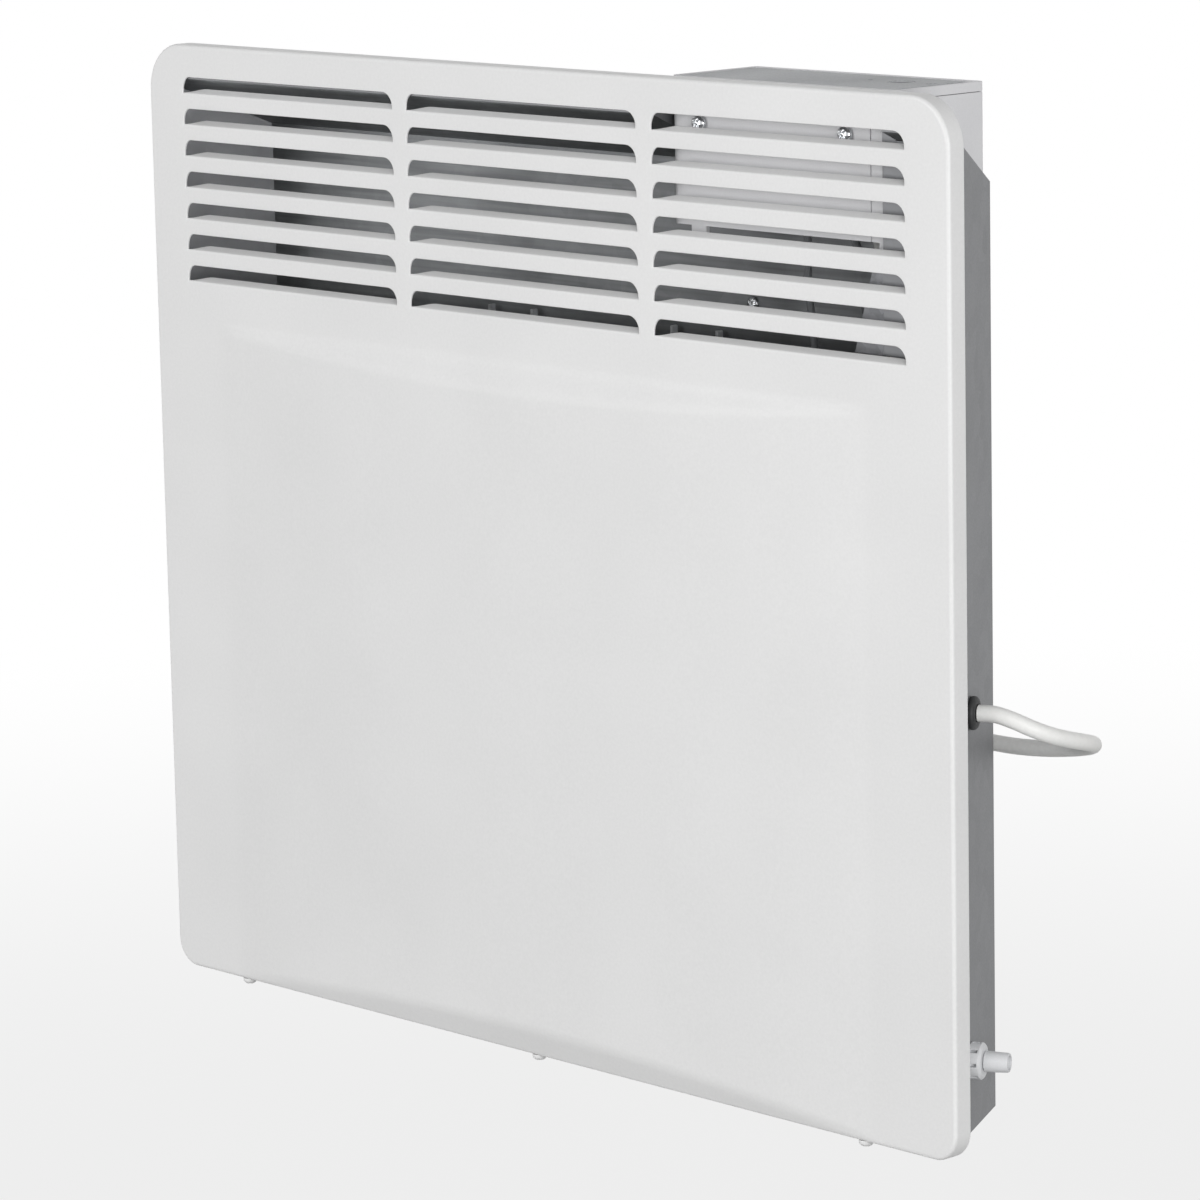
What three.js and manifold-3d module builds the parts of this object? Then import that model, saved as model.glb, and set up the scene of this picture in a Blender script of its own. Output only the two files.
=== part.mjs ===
// Wall-hung electric panel radiator: a stamped steel front with a louvred warm-air grille,
// a folded rear casing that holds a finned element, a plastic control box let into the casing's
// top right corner, a mains lead, and the steel bracket that carries it all on the wall.
// Millimetres, +Z up. Pieces are placed from the panel's face (Y = 0), its centre line (X = 0)
// and its lower edge (Z = 0). The finished group is then moved so that its origin is the centre
// of the top rail's rear face, flat on the wall.

import * as THREE from "three";
import { mergeVertices } from "three/addons/utils/BufferGeometryUtils.js";
import Module from "manifold-3d";

const wasm = await Module();
wasm.setup();

// Shared sizes
const sheet = 1;
const seatGap = 0.3;
const sideFit = 0.4;
const runningFit = 0.4;
const cutOverrun = 2;
const weldDistance = 0.0001;
const arcSteps = 5;
const roundSides = 16;
const halfTurn = Math.PI;
const quarterTurn = Math.PI / 2;
const radians = THREE.MathUtils.degToRad;

// Front panel
const panelWidth = 517;
const panelHeight = 451;
const panelCorner = 22;
const panelFootCorner = 13;
const foldRadius = 1.8;
const flangeDepth = 9.5;
const bowSideMargin = 46.5;
const bowWidth = panelWidth - 2 * bowSideMargin;
const bowRise = 5;
const bowTopMargin = 133.2;
const bowTop = panelHeight - bowTopMargin;
const bowTopRun = 11.5;
const bowBottom = 2;
const bowBottomRun = 12;
const bowSteps = 24;

// Grille slots and the lip that is bent in along each one's lower edge
const slotRows = 7;
const slotColumns = 3;
const grilleSideMargin = 25;
const grilleWidth = panelWidth - 2 * grilleSideMargin;
const slotGap = 9.4;
const slotPitch = 14.9;
const slotHeight = 7.45;
const topSlotDrop = 22.8;
const topSlotBase = panelHeight - topSlotDrop;
const slotWideCurve = 6.4;
const slotTightCurve = 4.6;
const slotCurveDrop = 6.4;
const lipReach = 3.6;
const lipRun = 8;
const lipEndGap = 0.4;
const lipAngle = radians(38);

// Screws that hold the panel's lower flange to the inlet grille
const panelScrewMargin = 52.5;
const panelScrewShift = -4;
const panelScrewSpacing = panelWidth / 2 - panelScrewMargin;
const panelScrewDepth = 4.6;
const panelScrewHead = 3.3;
const panelScrewHeadHeight = 3;
const panelScrewShank = 1.7;
const panelScrewLength = 6.5;
const screwHole = 0.35;

// Rear casing
const casingDepth = 54;
const casingStraight = 7;
const casingBase = 10;
const sideSlant = radians(28);
const roofDrop = 40.6;
const roofRear = panelHeight - roofDrop;
const roofFall = radians(25.8);
const curbHeight = 6;
const cornerPlateInset = 7.2;
const cornerPlateDrop = 111;
const cornerPlateTopDrop = 11;

// Control box and the cover let into its top
const boxLength = 134.4;
const boxSideMargin = 39.1;
const boxRight = panelWidth / 2 - boxSideMargin;
const boxLeft = boxRight - boxLength;
const boxFront = 11;
const boxRear = 64.5;
const boxHeight = 64;
const boxBase = panelHeight - boxHeight;
const boxWall = 2;
const boxFrontCorner = 5;
const boxRearCorner = 1.5;
const coverHeight = 4.1;
const coverRim = 2;
const coverRecess = 0.8;
const coverPlate = 1.6;
const boxFootHeight = 5.5;
const boxFootThickness = 1.8;
const leftFootInset = 11.6;
const leftFootWidth = 9;
const rightFootInset = 11.4;
const rightFootWidth = 6.4;
const boxScrewDrop = 21;
const boxScrewHeight = panelHeight - boxScrewDrop;
const boxScrewSpacing = 86.6;
const boxScrewHead = 4.3;
const boxScrewHeadHeight = 2.9;
const boxScrewShank = 1.8;
const boxScrewLength = 9;
const boxSeamInset = 15.4;
const boxSeam = boxRight - boxSeamInset;
const boxSeamWidth = 0.7;
const boxSeamDepth = 0.6;

// Controls on the cover, in a row along its rear half
const controlRow = 45.3;
const buttonInset = 29.4;
const buttonPlace = boxRight - buttonInset;
const buttonRadius = 5.5;
const buttonFlange = 6.7;
const buttonFlangeHeight = 1.4;
const buttonStem = 1.8;
const buttonTravel = 0.8;
const lightInset = 47;
const lightPlace = boxRight - lightInset;
const lightRadius = 1.2;
const lightFoot = 2.2;
const lightFootHeight = 1.5;
const receiverInset = 11.8;
const receiverPlace = boxRight - receiverInset;
const receiverRadius = 2;

// Circuit board and what is soldered to it
const boardDrop = 18;
const boardHeight = panelHeight - boardDrop;
const boardThickness = 1.6;
const boardInset = 5;
const postInset = 11;
const postRadius = 3.4;
const boardScrewHead = 2.8;
const boardScrewHeadHeight = 1.8;
const boardScrewShank = 1.3;
const boardScrewLength = 6;
const switchSize = 6.2;
const switchHeight = 3.5;
const switchPlungerRadius = 1.7;
const switchPlungerHeight = 0.8;
const relayLength = 20;
const relayWidth = 15.6;
const relayHeight = 15.2;
const relayInset = 33;
const relayPlace = boxLeft + relayInset;
const relayDepth = 30;
const capacitorLength = 18;
const capacitorWidth = 8.5;
const capacitorHeight = 14.5;
const capacitorInset = 63;
const capacitorPlace = boxLeft + capacitorInset;
const supplyLength = 26;
const supplyWidth = 20;
const supplyHeight = 17;
const supplyInset = 95;
const supplyPlace = boxLeft + supplyInset;

// Terminal block on the box's floor
const blockInset = 53;
const blockLeft = boxLeft + blockInset;
const blockLength = 66;
const blockWidth = 15;
const blockHeight = 16;
const blockDepth = 32;
const blockScrewRadius = 2.4;
const blockScrewSink = 5;

// Heating element
const elementHeight = 150;
const elementDepth = 27;
const elementEndMargin = 58.5;
const elementHalfLength = panelWidth / 2 - elementEndMargin;
const elementCore = 6;
const webHalfHeight = 34;
const wingHalfLength = 28;
const finThickness = 1.8;
const wingAngle = radians(60);
const studRadius = 2.5;
const studLength = 30;
const bushRadius = 7;
const bushFlange = 9;
const bushFlangeThickness = 2;
const bushLength = 17;
const bushClearance = 0.35;
const bracketPlate = 1.2;
const bracketHalfHeight = 20;
const bracketFrontDepth = 15;
const bracketFoot = 18;
const rivetHead = 4;
const rivetHeadHeight = 1.8;
const rivetShank = 1.6;
const rivetDrop = 12;

// Over-temperature cut-out hung below the control box
const cutoutWidth = 25;
const cutoutHeight = 40;
const cutoutInset = 3.4;
const cutoutDrop = 8;
const cutoutRight = boxRight - cutoutInset;
const cutoutLeft = cutoutRight - cutoutWidth;
const cutoutTop = boxBase - cutoutDrop;
const cutoutBase = cutoutTop - cutoutHeight;
const cutoutLeftTaper = 12;
const cutoutRightTaper = 4;
const cutoutTopLeft = cutoutLeft + cutoutLeftTaper;
const cutoutTopRight = cutoutRight - cutoutRightTaper;
const cutoutDepth = 14;
const cutoutPlate = 1.2;
const cutoutRadius = 8;
const cutoutBodyLength = 10;
const cutoutTabWidth = 6.3;
const cutoutTabThickness = 0.8;
const cutoutTabLength = 8;
const cutoutTabReach = 14;
const cutoutScrewInset = 4.5;
const cutoutScrewRise = 17;
const cutoutScrewPlace = cutoutRight - cutoutScrewInset;
const cutoutScrewHeight = cutoutBase + cutoutScrewRise;
const cutoutScrewHead = 2.4;

// Inner leads
const leadRadius = 1.6;
const tailSteps = 18;
const leadSides = 8;
const leadBend = 9;
const leadClearance = 0.5;
const leadRunHeight = 205;
const leadRunDepth = 47.5;
const leadPitch = 14;
const leadLowShare = 0.42;
const leadHighShare = 0.8;
const tailLowShare = 0.4;
const tailHighShare = 0.72;
const firstLeadInset = 9;
const firstLead = blockLeft + firstLeadInset;

// Cord outlet in the slanted side wall
const outletDepth = 20.5;
const outletRise = 41;
const outletHeight = elementHeight + outletRise;
const grommetRadius = 7.2;
const grommetWaist = 5.2;
const grommetReach = 3;
const grommetInner = 3;
const grommetHoleFit = 0.3;
const clampReach = 14;
const clampHalfWidth = 9;
const clampHalfHeight = 10;

// Room-temperature sensor on the same wall
const sensorDepth = 17;
const sensorHeight = 41.5;
const holderRadius = 8;
const holderLength = 6;
const holderCore = 5.4;
const holderWaist = 4.6;
const holderInner = 6.4;
const holderInnerLength = 4;
const ventCount = 8;
const ventWidth = 1.5;
const ventStart = 0.9;
const ventEnd = 4.2;
const tipRadius = 4.5;
const tipLength = 10.6;
const tipBore = 3.1;
const tipBoreDepth = 3;

// Mains lead: a free stretch, then a tied coil that hangs on a tongue behind the casing
const cordRadius = 3.6;
const cordSides = 10;
const cordSteps = 26;
const coilSideMargin = 108.5;
const coilPlace = panelWidth / 2 - coilSideMargin;
const coilRearLayer = 82.8;
const coilLayerPitch = 7.8;
const coilTurnPitch = 7.8;
const coilTurns = 5.25;
const coilOuter = 51.5;
const coilDrop = 29;
const coilTop = outletHeight - coilDrop;
const coilTail = 30;
const coilSides = 6;
const coilStepsPerTurn = 24;
const coilLead = 7.2;
const tieHeight = 4;
const tieThickness = 1;
const tieClearance = 0.6;
const hookWidth = 10;
const hookThickness = 1.4;
const hookReach = 88.6;
const hookLip = 5;

// Plug
const plugWidth = 36;
const plugThickness = 26;
const plugCorner = 11;
const plugLength = 38;
const guardLength = 20;
const guardWide = 6.5;
const guardNarrow = 5;
const pinRadius = 2.4;
const pinLength = 19;
const pinSpacing = 19;

// Wall bracket
const wallDistance = 90;
const bracketSheet = 1.5;
const armPlace = 60;
const armWidth = 30;
const armBase = 88;
const armTopDrop = 69;
const armTop = panelHeight - armTopDrop;
const armFront = 55.5;
const upperSaddleDrop = 125;
const upperSaddle = panelHeight - upperSaddleDrop;
const lowerSaddle = 115;
const hookNeck = 12;
const hookSlotFit = 2;
const hookTipHeight = 9;
const hookTipDepth = 3.5;
const hookTipFront = 48;
const liftTravel = 12;
const liftClearance = 1;
const railHeight = 25;
const railHalfLength = 92;
const upperRailDrop = 138.5;
const upperRail = panelHeight - upperRailDrop;
const lowerRail = 142.5;
const fixingHole = 3;
const fixingPlace = 84;

// Sprung catch on the lower rail, which stops the casing from being pulled off the hooks
const catchHalfWidth = 12;
const catchBase = 72;
const catchTop = 164;
const catchTravel = 8;
const tongueHalfWidth = 6;
const catchSlotFit = 5;
const tongueHeight = 107;
const tongueThickness = 3;
const tongueTip = 9;
const tongueTipDepth = 2.5;
const guideThickness = 1.5;
const guideLip = 2.6;
const guideInset = 4;

// Materials
const finish = (color, roughness, metalness) =>
  new THREE.MeshStandardMaterial({ color, roughness, metalness });
const whiteEnamel = finish(0xf0f0f1, 0.42, 0);
const galvanised = finish(0x8b8d8f, 0.45, 0.85);
const whitePlastic = finish(0xe9e9ea, 0.5, 0);
const greyPlastic = finish(0xa9aaad, 0.6, 0);
const paleGreyPlastic = finish(0xc9cacc, 0.55, 0);
const blackRubber = finish(0x17181a, 0.75, 0);
const whiteCordSheath = finish(0xefefef, 0.55, 0);
const chromedSteel = finish(0xd6d8da, 0.15, 1);
const aluminiumFin = finish(0xb9bcc0, 0.4, 0.9);
const ceramic = finish(0xe6e1d6, 0.6, 0);
const circuitGreen = finish(0x1f5d3a, 0.5, 0);
const darkPlastic = finish(0x26282b, 0.5, 0);
const bracketSteel = finish(0xdedfe1, 0.5, 0.1);

// A closed geometry as a solid, with its faces turned outwards
function solidFrom(geometry) {
  const loose = geometry.index ? geometry.toNonIndexed() : geometry;
  const bare = new THREE.BufferGeometry();
  bare.setAttribute("position", loose.getAttribute("position"));
  const welded = mergeVertices(bare, weldDistance);
  const vertProperties = Float32Array.from(welded.attributes.position.array);
  const triVerts = Uint32Array.from(welded.index.array);
  const made = new wasm.Manifold(new wasm.Mesh({ numProp: 3, vertProperties, triVerts }));
  if (made.volume() > 0) return made;
  for (let i = 0; i < triVerts.length; i += 3) {
    [triVerts[i + 1], triVerts[i + 2]] = [triVerts[i + 2], triVerts[i + 1]];
  }
  return new wasm.Manifold(new wasm.Mesh({ numProp: 3, vertProperties, triVerts }));
}

// A solid as a three.js geometry with flat faces
function geometryFrom(solid) {
  const mesh = solid.getMesh();
  const positions = new Float32Array(mesh.numVert * 3);
  for (let i = 0; i < mesh.numVert; i++) {
    positions.set(mesh.vertProperties.subarray(i * mesh.numProp, i * mesh.numProp + 3), i * 3);
  }
  const geometry = new THREE.BufferGeometry();
  geometry.setAttribute("position", new THREE.BufferAttribute(positions, 3));
  geometry.setIndex(new THREE.BufferAttribute(Uint32Array.from(mesh.triVerts), 1));
  return geometry;
}

const join = (...solids) => solids.reduce((whole, next) => whole.add(next));
const cut = (body, ...tools) => tools.reduce((whole, tool) => whole.subtract(tool), body);

function block(x0, x1, y0, y1, z0, z1) {
  const box = new THREE.BoxGeometry(x1 - x0, y1 - y0, z1 - z0);
  box.translate((x0 + x1) / 2, (y0 + y1) / 2, (z0 + z1) / 2);
  return solidFrom(box);
}

// An outline of [u, v] points, or a Shape, drawn out along an axis between two places on it.
// Along x the outline lies in (y, z), along y in (x, z) and along z in (x, y).
function prism(axis, outline, from, to, curveSegments = arcSteps) {
  const shape = Array.isArray(outline)
    ? new THREE.Shape(outline.map(([u, v]) => new THREE.Vector2(u, v)))
    : outline;
  const drawn = new THREE.ExtrudeGeometry(shape, {
    depth: to - from,
    bevelEnabled: false,
    curveSegments,
  });
  if (axis === "y") {
    drawn.translate(0, 0, -to);
    drawn.rotateX(quarterTurn);
    return solidFrom(drawn);
  }
  drawn.translate(0, 0, from);
  if (axis === "x") {
    const ahead = new THREE.Vector3(1, 0, 0);
    const side = new THREE.Vector3(0, 1, 0);
    const up = new THREE.Vector3(0, 0, 1);
    drawn.applyMatrix4(new THREE.Matrix4().makeBasis(side, up, ahead));
  }
  return solidFrom(drawn);
}

// A profile of [radius, place] points turned round an axis through a centre point
function turned(axis, profile, centre, sides = roundSides) {
  const points = profile.map(([radius, place]) => new THREE.Vector2(radius, place));
  const lathed = new THREE.LatheGeometry(points, sides);
  if (axis === "z") lathed.rotateX(quarterTurn);
  if (axis === "x") lathed.rotateZ(-quarterTurn);
  lathed.translate(...centre);
  return solidFrom(lathed);
}

const rod = (axis, radius, from, to, centre, sides = roundSides) =>
  turned(axis, [[0, from], [radius, from], [radius, to], [0, to]], centre, sides);

// Rings of points joined into a closed skin, with a fan at each end
function loft(rings) {
  const count = rings[0].length;
  const positions = rings.flat().flatMap((p) => [p.x, p.y, p.z]);
  const faces = [];
  rings.slice(1).forEach((_, row) => {
    for (let i = 0; i < count; i++) {
      const a = row * count + i;
      const b = row * count + ((i + 1) % count);
      faces.push(a, b, a + count, b, b + count, a + count);
    }
  });
  const centreOf = (ring) =>
    ring.reduce((sum, p) => sum.add(p), new THREE.Vector3()).divideScalar(count);
  const ends = [rings[0], rings[rings.length - 1]];
  ends.forEach((ring, end) => {
    const hub = positions.length / 3;
    const centre = centreOf(ring);
    positions.push(centre.x, centre.y, centre.z);
    const first = end * (rings.length - 1) * count;
    for (let i = 0; i < count; i++) {
      const next = (i + 1) % count;
      if (end) faces.push(hub, first + i, first + next);
      else faces.push(hub, first + next, first + i);
    }
  });
  const geometry = new THREE.BufferGeometry();
  geometry.setAttribute("position", new THREE.Float32BufferAttribute(positions, 3));
  geometry.setIndex(faces);
  return solidFrom(geometry);
}

// A round tube along a curve, with flat ends
function tube(points, radius, sides, steps) {
  const path = new THREE.CatmullRomCurve3(points, false, "centripetal");
  const corners = Array.from({ length: sides }, (_, i) => {
    const angle = (i / sides) * 2 * halfTurn;
    return new THREE.Vector2(radius * Math.cos(angle), radius * Math.sin(angle));
  });
  const section = new THREE.Shape(corners);
  return solidFrom(new THREE.ExtrudeGeometry(section, { steps, extrudePath: path }));
}

const model = new THREE.Group();
const addPiece = (name, solid, material, holder = model) => {
  const mesh = new THREE.Mesh(geometryFrom(solid), material.clone());
  mesh.name = name;
  holder.add(mesh);
  return mesh;
};

// The panel's outline at one depth, drawn in by an inset that keeps the corner centres
function panelRing(y, inset) {
  const half = panelWidth / 2;
  const high = panelHeight - panelCorner;
  const corners = [
    [half - panelCorner, high, panelCorner],
    [panelCorner - half, high, panelCorner],
    [panelFootCorner - half, panelFootCorner, panelFootCorner],
    [half - panelFootCorner, panelFootCorner, panelFootCorner],
  ];
  return corners.flatMap(([x, z, curve], corner) =>
    Array.from({ length: arcSteps + 1 }, (_, i) => {
      const angle = (corner + i / arcSteps) * quarterTurn;
      const radius = curve - inset;
      return new THREE.Vector3(x + radius * Math.cos(angle), y, z + radius * Math.sin(angle));
    }),
  );
}

// The bowed field of the face, cut off above and below by slanted planes that leave crescents
function bowedField() {
  const bowRadius = (bowWidth ** 2 / 4 + bowRise ** 2) / (2 * bowRise);
  const root = sheet / 2;
  const arc = Array.from({ length: bowSteps + 1 }, (_, i) => {
    const x = (i / bowSteps - 1 / 2) * bowWidth;
    return [x, bowRadius - bowRise - Math.sqrt(bowRadius ** 2 - x ** 2)];
  });
  const plan = [...arc, [bowWidth / 2, root], [-bowWidth / 2, root]];
  const topSlope = bowTopRun / bowRise;
  const bottomSlope = bowBottomRun / bowRise;
  const far = 2 * bowRise;
  const wedge = [
    [root, bowBottom - root * bottomSlope],
    [-far, bowBottom + far * bottomSlope],
    [-far, bowTop - far * topSlope],
    [root, bowTop + root * topSlope],
  ];
  return prism("z", plan, 0, panelHeight).intersect(prism("x", wedge, -bowWidth, bowWidth));
}

const slotWidth = (grilleWidth - (slotColumns - 1) * slotGap) / slotColumns;
const slotPlaces = Array.from({ length: slotRows * slotColumns }, (_, i) => ({
  left: -grilleWidth / 2 + (i % slotColumns) * (slotWidth + slotGap),
  base: topSlotBase - Math.floor(i / slotColumns) * slotPitch,
}));

// One grille slot: square lower corners, a tight curve at upper left and a wide one at right
function slotOpening({ left, base }) {
  const right = left + slotWidth;
  const top = base + slotHeight;
  const shape = new THREE.Shape();
  shape.moveTo(left, base);
  shape.lineTo(right, base);
  shape.lineTo(right, top - slotCurveDrop);
  const wideCentre = right - slotWideCurve;
  shape.absellipse(wideCentre, top - slotCurveDrop, slotWideCurve, slotCurveDrop, 0, quarterTurn);
  const tightCentre = left + slotTightCurve;
  const drop = slotCurveDrop;
  shape.absellipse(tightCentre, top - drop, slotTightCurve, drop, quarterTurn, halfTurn);
  return prism("y", shape, -cutOverrun, sheet + cutOverrun);
}

// The strip bent inwards and upwards from a slot's lower edge, which turns the air outwards
function slotLip({ left, base }) {
  const right = left + slotWidth - lipEndGap;
  const seat = sheet / 3;
  const ring = (reach, start) => {
    const y = seat + reach * Math.cos(lipAngle);
    const z = base + reach * Math.sin(lipAngle);
    const under = [y + sheet * Math.sin(lipAngle), z - sheet * Math.cos(lipAngle)];
    return [
      new THREE.Vector3(start, y, z),
      new THREE.Vector3(right, y, z),
      new THREE.Vector3(right, ...under),
      new THREE.Vector3(start, ...under),
    ];
  };
  return loft([ring(0, left + lipEndGap), ring(lipReach, left + lipRun)]);
}

const panelScrewPlaces = {
  left: panelScrewShift - panelScrewSpacing,
  middle: panelScrewShift,
  right: panelScrewShift + panelScrewSpacing,
};

function frontPanel() {
  const eased = foldRadius * (1 - Math.SQRT1_2);
  const outer = loft([
    panelRing(0, foldRadius),
    panelRing(eased, eased),
    panelRing(foldRadius, 0),
    panelRing(flangeDepth, 0),
  ]);
  const inner = loft([
    panelRing(sheet, foldRadius),
    panelRing(foldRadius, sheet),
    panelRing(flangeDepth + cutOverrun, sheet),
  ]);
  const field = bowedField();
  const shell = cut(join(outer, field), join(inner, field.translate([0, sheet, 0])));
  const slots = slotPlaces.map(slotOpening).reduce((all, next) => all.add(next));
  const lips = slotPlaces.map(slotLip).reduce((all, next) => all.add(next));
  const holes = Object.values(panelScrewPlaces).map((x) =>
    rod("z", panelScrewShank + screwHole, -cutOverrun, sheet + cutOverrun, [x, panelScrewDepth, 0]),
  );
  return cut(join(cut(shell, slots), lips), ...holes);
}
addPiece("front_panel", frontPanel(), whiteEnamel);

// Space inside the panel's flanges, with clearance, that the casing's front has to fit
function panelClearance() {
  const inset = sheet + sideFit;
  return loft([
    panelRing(0, foldRadius + sideFit),
    panelRing(sheet, foldRadius + sideFit),
    panelRing(foldRadius, inset),
    panelRing(flangeDepth + seatGap, inset),
  ]);
}

// What lies outside that space at the depth of the flanges
function flangeZone() {
  const half = panelWidth / 2 + cutOverrun;
  const around = block(
    -half,
    half,
    -cutOverrun,
    flangeDepth + seatGap,
    -cutOverrun,
    panelHeight + cutOverrun,
  );
  return cut(around, panelClearance());
}

const casingFront = sheet + seatGap;
const casingHalf = panelWidth / 2 - sheet - sideFit;
const casingFloor = casingDepth - sheet;
const sideAt = (y) => casingHalf - (y - casingStraight) * Math.tan(sideSlant);
const roofAt = (y) => roofRear + (casingDepth - y) * Math.tan(roofFall);

// The casing's plan outline at its outer skin, or drawn in by an inset measured square to it
function casingPlan(front, rear, inset) {
  const half = casingHalf - inset;
  const bend = casingStraight - inset * Math.tan(sideSlant / 2);
  const rearHalf = sideAt(rear) - inset / Math.cos(sideSlant);
  return [
    [-half, front],
    [half, front],
    [half, bend],
    [rearHalf, rear],
    [-rearHalf, rear],
    [-half, bend],
  ];
}

// The casing's side outline, from its open underside to the slanted roof
function casingProfile(front, rear, base, inset) {
  const drop = inset / Math.cos(roofFall);
  return [[front, base], [rear, base], [rear, roofAt(rear) - drop], [front, roofAt(front) - drop]];
}

function casingBlock(front, rear, base, inset) {
  const plan = prism("z", casingPlan(front, rear, inset), -cutOverrun, panelHeight);
  const profile = casingProfile(front, rear, base, inset);
  return plan.intersect(prism("x", profile, -panelWidth, panelWidth));
}

// Turns a solid made round the outlet's own axis, +X outwards, onto the slanted side wall
const onSideWall = (solid, depth, height) =>
  solid
    .rotate([0, 0, THREE.MathUtils.radToDeg(sideSlant)])
    .translate([sideAt(depth), depth, height]);

const hookSlotHalf = armWidth / 2 + hookSlotFit;
const saddles = [upperSaddle, lowerSaddle];
const hookSlots = [-armPlace, armPlace].flatMap((x) =>
  saddles.map((saddle) =>
    block(
      x - hookSlotHalf,
      x + hookSlotHalf,
      casingFloor - cutOverrun,
      casingDepth + cutOverrun,
      saddle - hookNeck - liftTravel - liftClearance,
      saddle + seatGap,
    ),
  ),
);

// The coil's radius, which shrinks turn by turn to the middle of its length and grows again
const coilCentre = coilTop - coilOuter;
const coilMiddle = coilTurns / 2;
const coilRadius = (turn) =>
  coilOuter - coilTurnPitch * (coilMiddle - Math.abs(turn - coilMiddle));

// The hook's top lies just under the smallest turn that passes over it, at the hook's edges
const turnsOverHook = Array.from({ length: Math.ceil(coilTurns) }, (_, turn) => coilRadius(turn));
const innerTurn = Math.min(...turnsOverHook) - cordRadius;
const edgeDrop = innerTurn - Math.sqrt(innerTurn ** 2 - hookWidth ** 2 / 4);
const edgeDrift = (coilTurnPitch * hookWidth) / (4 * halfTurn * innerTurn);
const hookTop = coilCentre + innerTurn - edgeDrop - edgeDrift - 2 * seatGap;

// Tongue and lip on the casing's rear that the coiled lead hangs on
function cordHook() {
  const left = coilPlace - hookWidth / 2;
  const right = coilPlace + hookWidth / 2;
  const root = casingFloor + sheet / 2;
  const tongue = block(left, right, root, hookReach, hookTop - hookThickness, hookTop);
  const lipFront = hookReach - hookThickness;
  const lip = block(left, right, lipFront, hookReach, hookTop - hookThickness, hookTop + hookLip);
  return join(tongue, lip);
}

const bracketPlaces = { left: -1, right: 1 };
const rivetPlace = elementHalfLength - rivetHead;
const cutoutRivetPlace = (cutoutLeft + cutoutRight) / 2;
const cutoutRivetHeight = (cutoutBase + cutoutTop) / 2;
const rearHole = (x, z) =>
  rod("y", rivetShank + screwHole, casingFloor - cutOverrun, casingDepth + cutOverrun, [x, 0, z]);

// A curb folded up along the box's left side, over the notch's edge
function roofCurb() {
  const right = boxLeft - runningFit;
  const drop = sheet / 2;
  const profile = [
    [casingFront, roofAt(casingFront) - drop],
    [casingDepth, roofAt(casingDepth) - drop],
    [casingDepth, roofAt(casingDepth) + curbHeight],
    [casingFront, roofAt(casingFront) + curbHeight],
  ];
  return prism("x", profile, right - sheet, right);
}

// A plate welded inside the right side wall, which closes the corner in front of the box
function cornerPlate() {
  const rear = boxFront - seatGap;
  const left = boxRight - cornerPlateInset;
  const base = panelHeight - cornerPlateDrop;
  const wing = block(left, sideAt(rear) - sheet / 2, rear - sheet, rear, base, roofAt(rear) - sheet);
  const top = panelHeight - cornerPlateTopDrop;
  return join(wing, block(left, boxRight + runningFit, rear - sheet, rear, base, top));
}

function rearCasing() {
  const outer = casingBlock(casingFront, casingDepth, casingBase, 0);
  const inner = casingBlock(casingFront - cutOverrun, casingFloor, casingBase - cutOverrun, sheet);
  const boxNotch = block(
    boxLeft - runningFit,
    boxRight + runningFit,
    0,
    casingDepth + cutOverrun,
    boxBase - seatGap,
    panelHeight,
  );
  const catchSlot = block(
    -tongueHalfWidth - catchSlotFit,
    tongueHalfWidth + catchSlotFit,
    casingFloor - cutOverrun,
    casingDepth + cutOverrun,
    tongueHeight - catchTravel - liftTravel - liftClearance,
    lowerSaddle + seatGap,
  );
  const outletHole = onSideWall(
    rod("x", grommetWaist + grommetHoleFit, -cutOverrun, cutOverrun, [0, 0, 0]),
    outletDepth,
    outletHeight,
  );
  const sensorHole = onSideWall(
    rod("x", holderWaist + grommetHoleFit, -cutOverrun, cutOverrun, [0, 0, 0]),
    sensorDepth,
    sensorHeight,
  );
  const rivetHoles = Object.values(bracketPlaces).map((side) =>
    rearHole(side * rivetPlace, elementHeight - rivetDrop),
  );
  const folded = join(cut(outer, inner, boxNotch), roofCurb(), cornerPlate());
  const shell = cut(folded, flangeZone(), catchSlot, ...hookSlots);
  const holed = cut(shell, outletHole, sensorHole, ...rivetHoles);
  return join(cut(holed, rearHole(cutoutRivetPlace, cutoutRivetHeight)), cordHook());
}
addPiece("rear_casing", rearCasing(), galvanised);

// Slotted strip across the open underside, with the lip that the panel's screws bite into
const grilleEndMargin = 34.5;
const grilleSlotCount = 14;
const grilleSlotPitch = (panelWidth - 2 * grilleEndMargin) / grilleSlotCount;
const grilleSlotBridge = 8;
const grilleSlotLength = grilleSlotPitch - grilleSlotBridge;
const grilleSlotWidth = 9;
const grilleRowPitch = 15;
const grilleRows = 2;
const grilleFirstRow = 16;
const lipDepth = 2;

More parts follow.
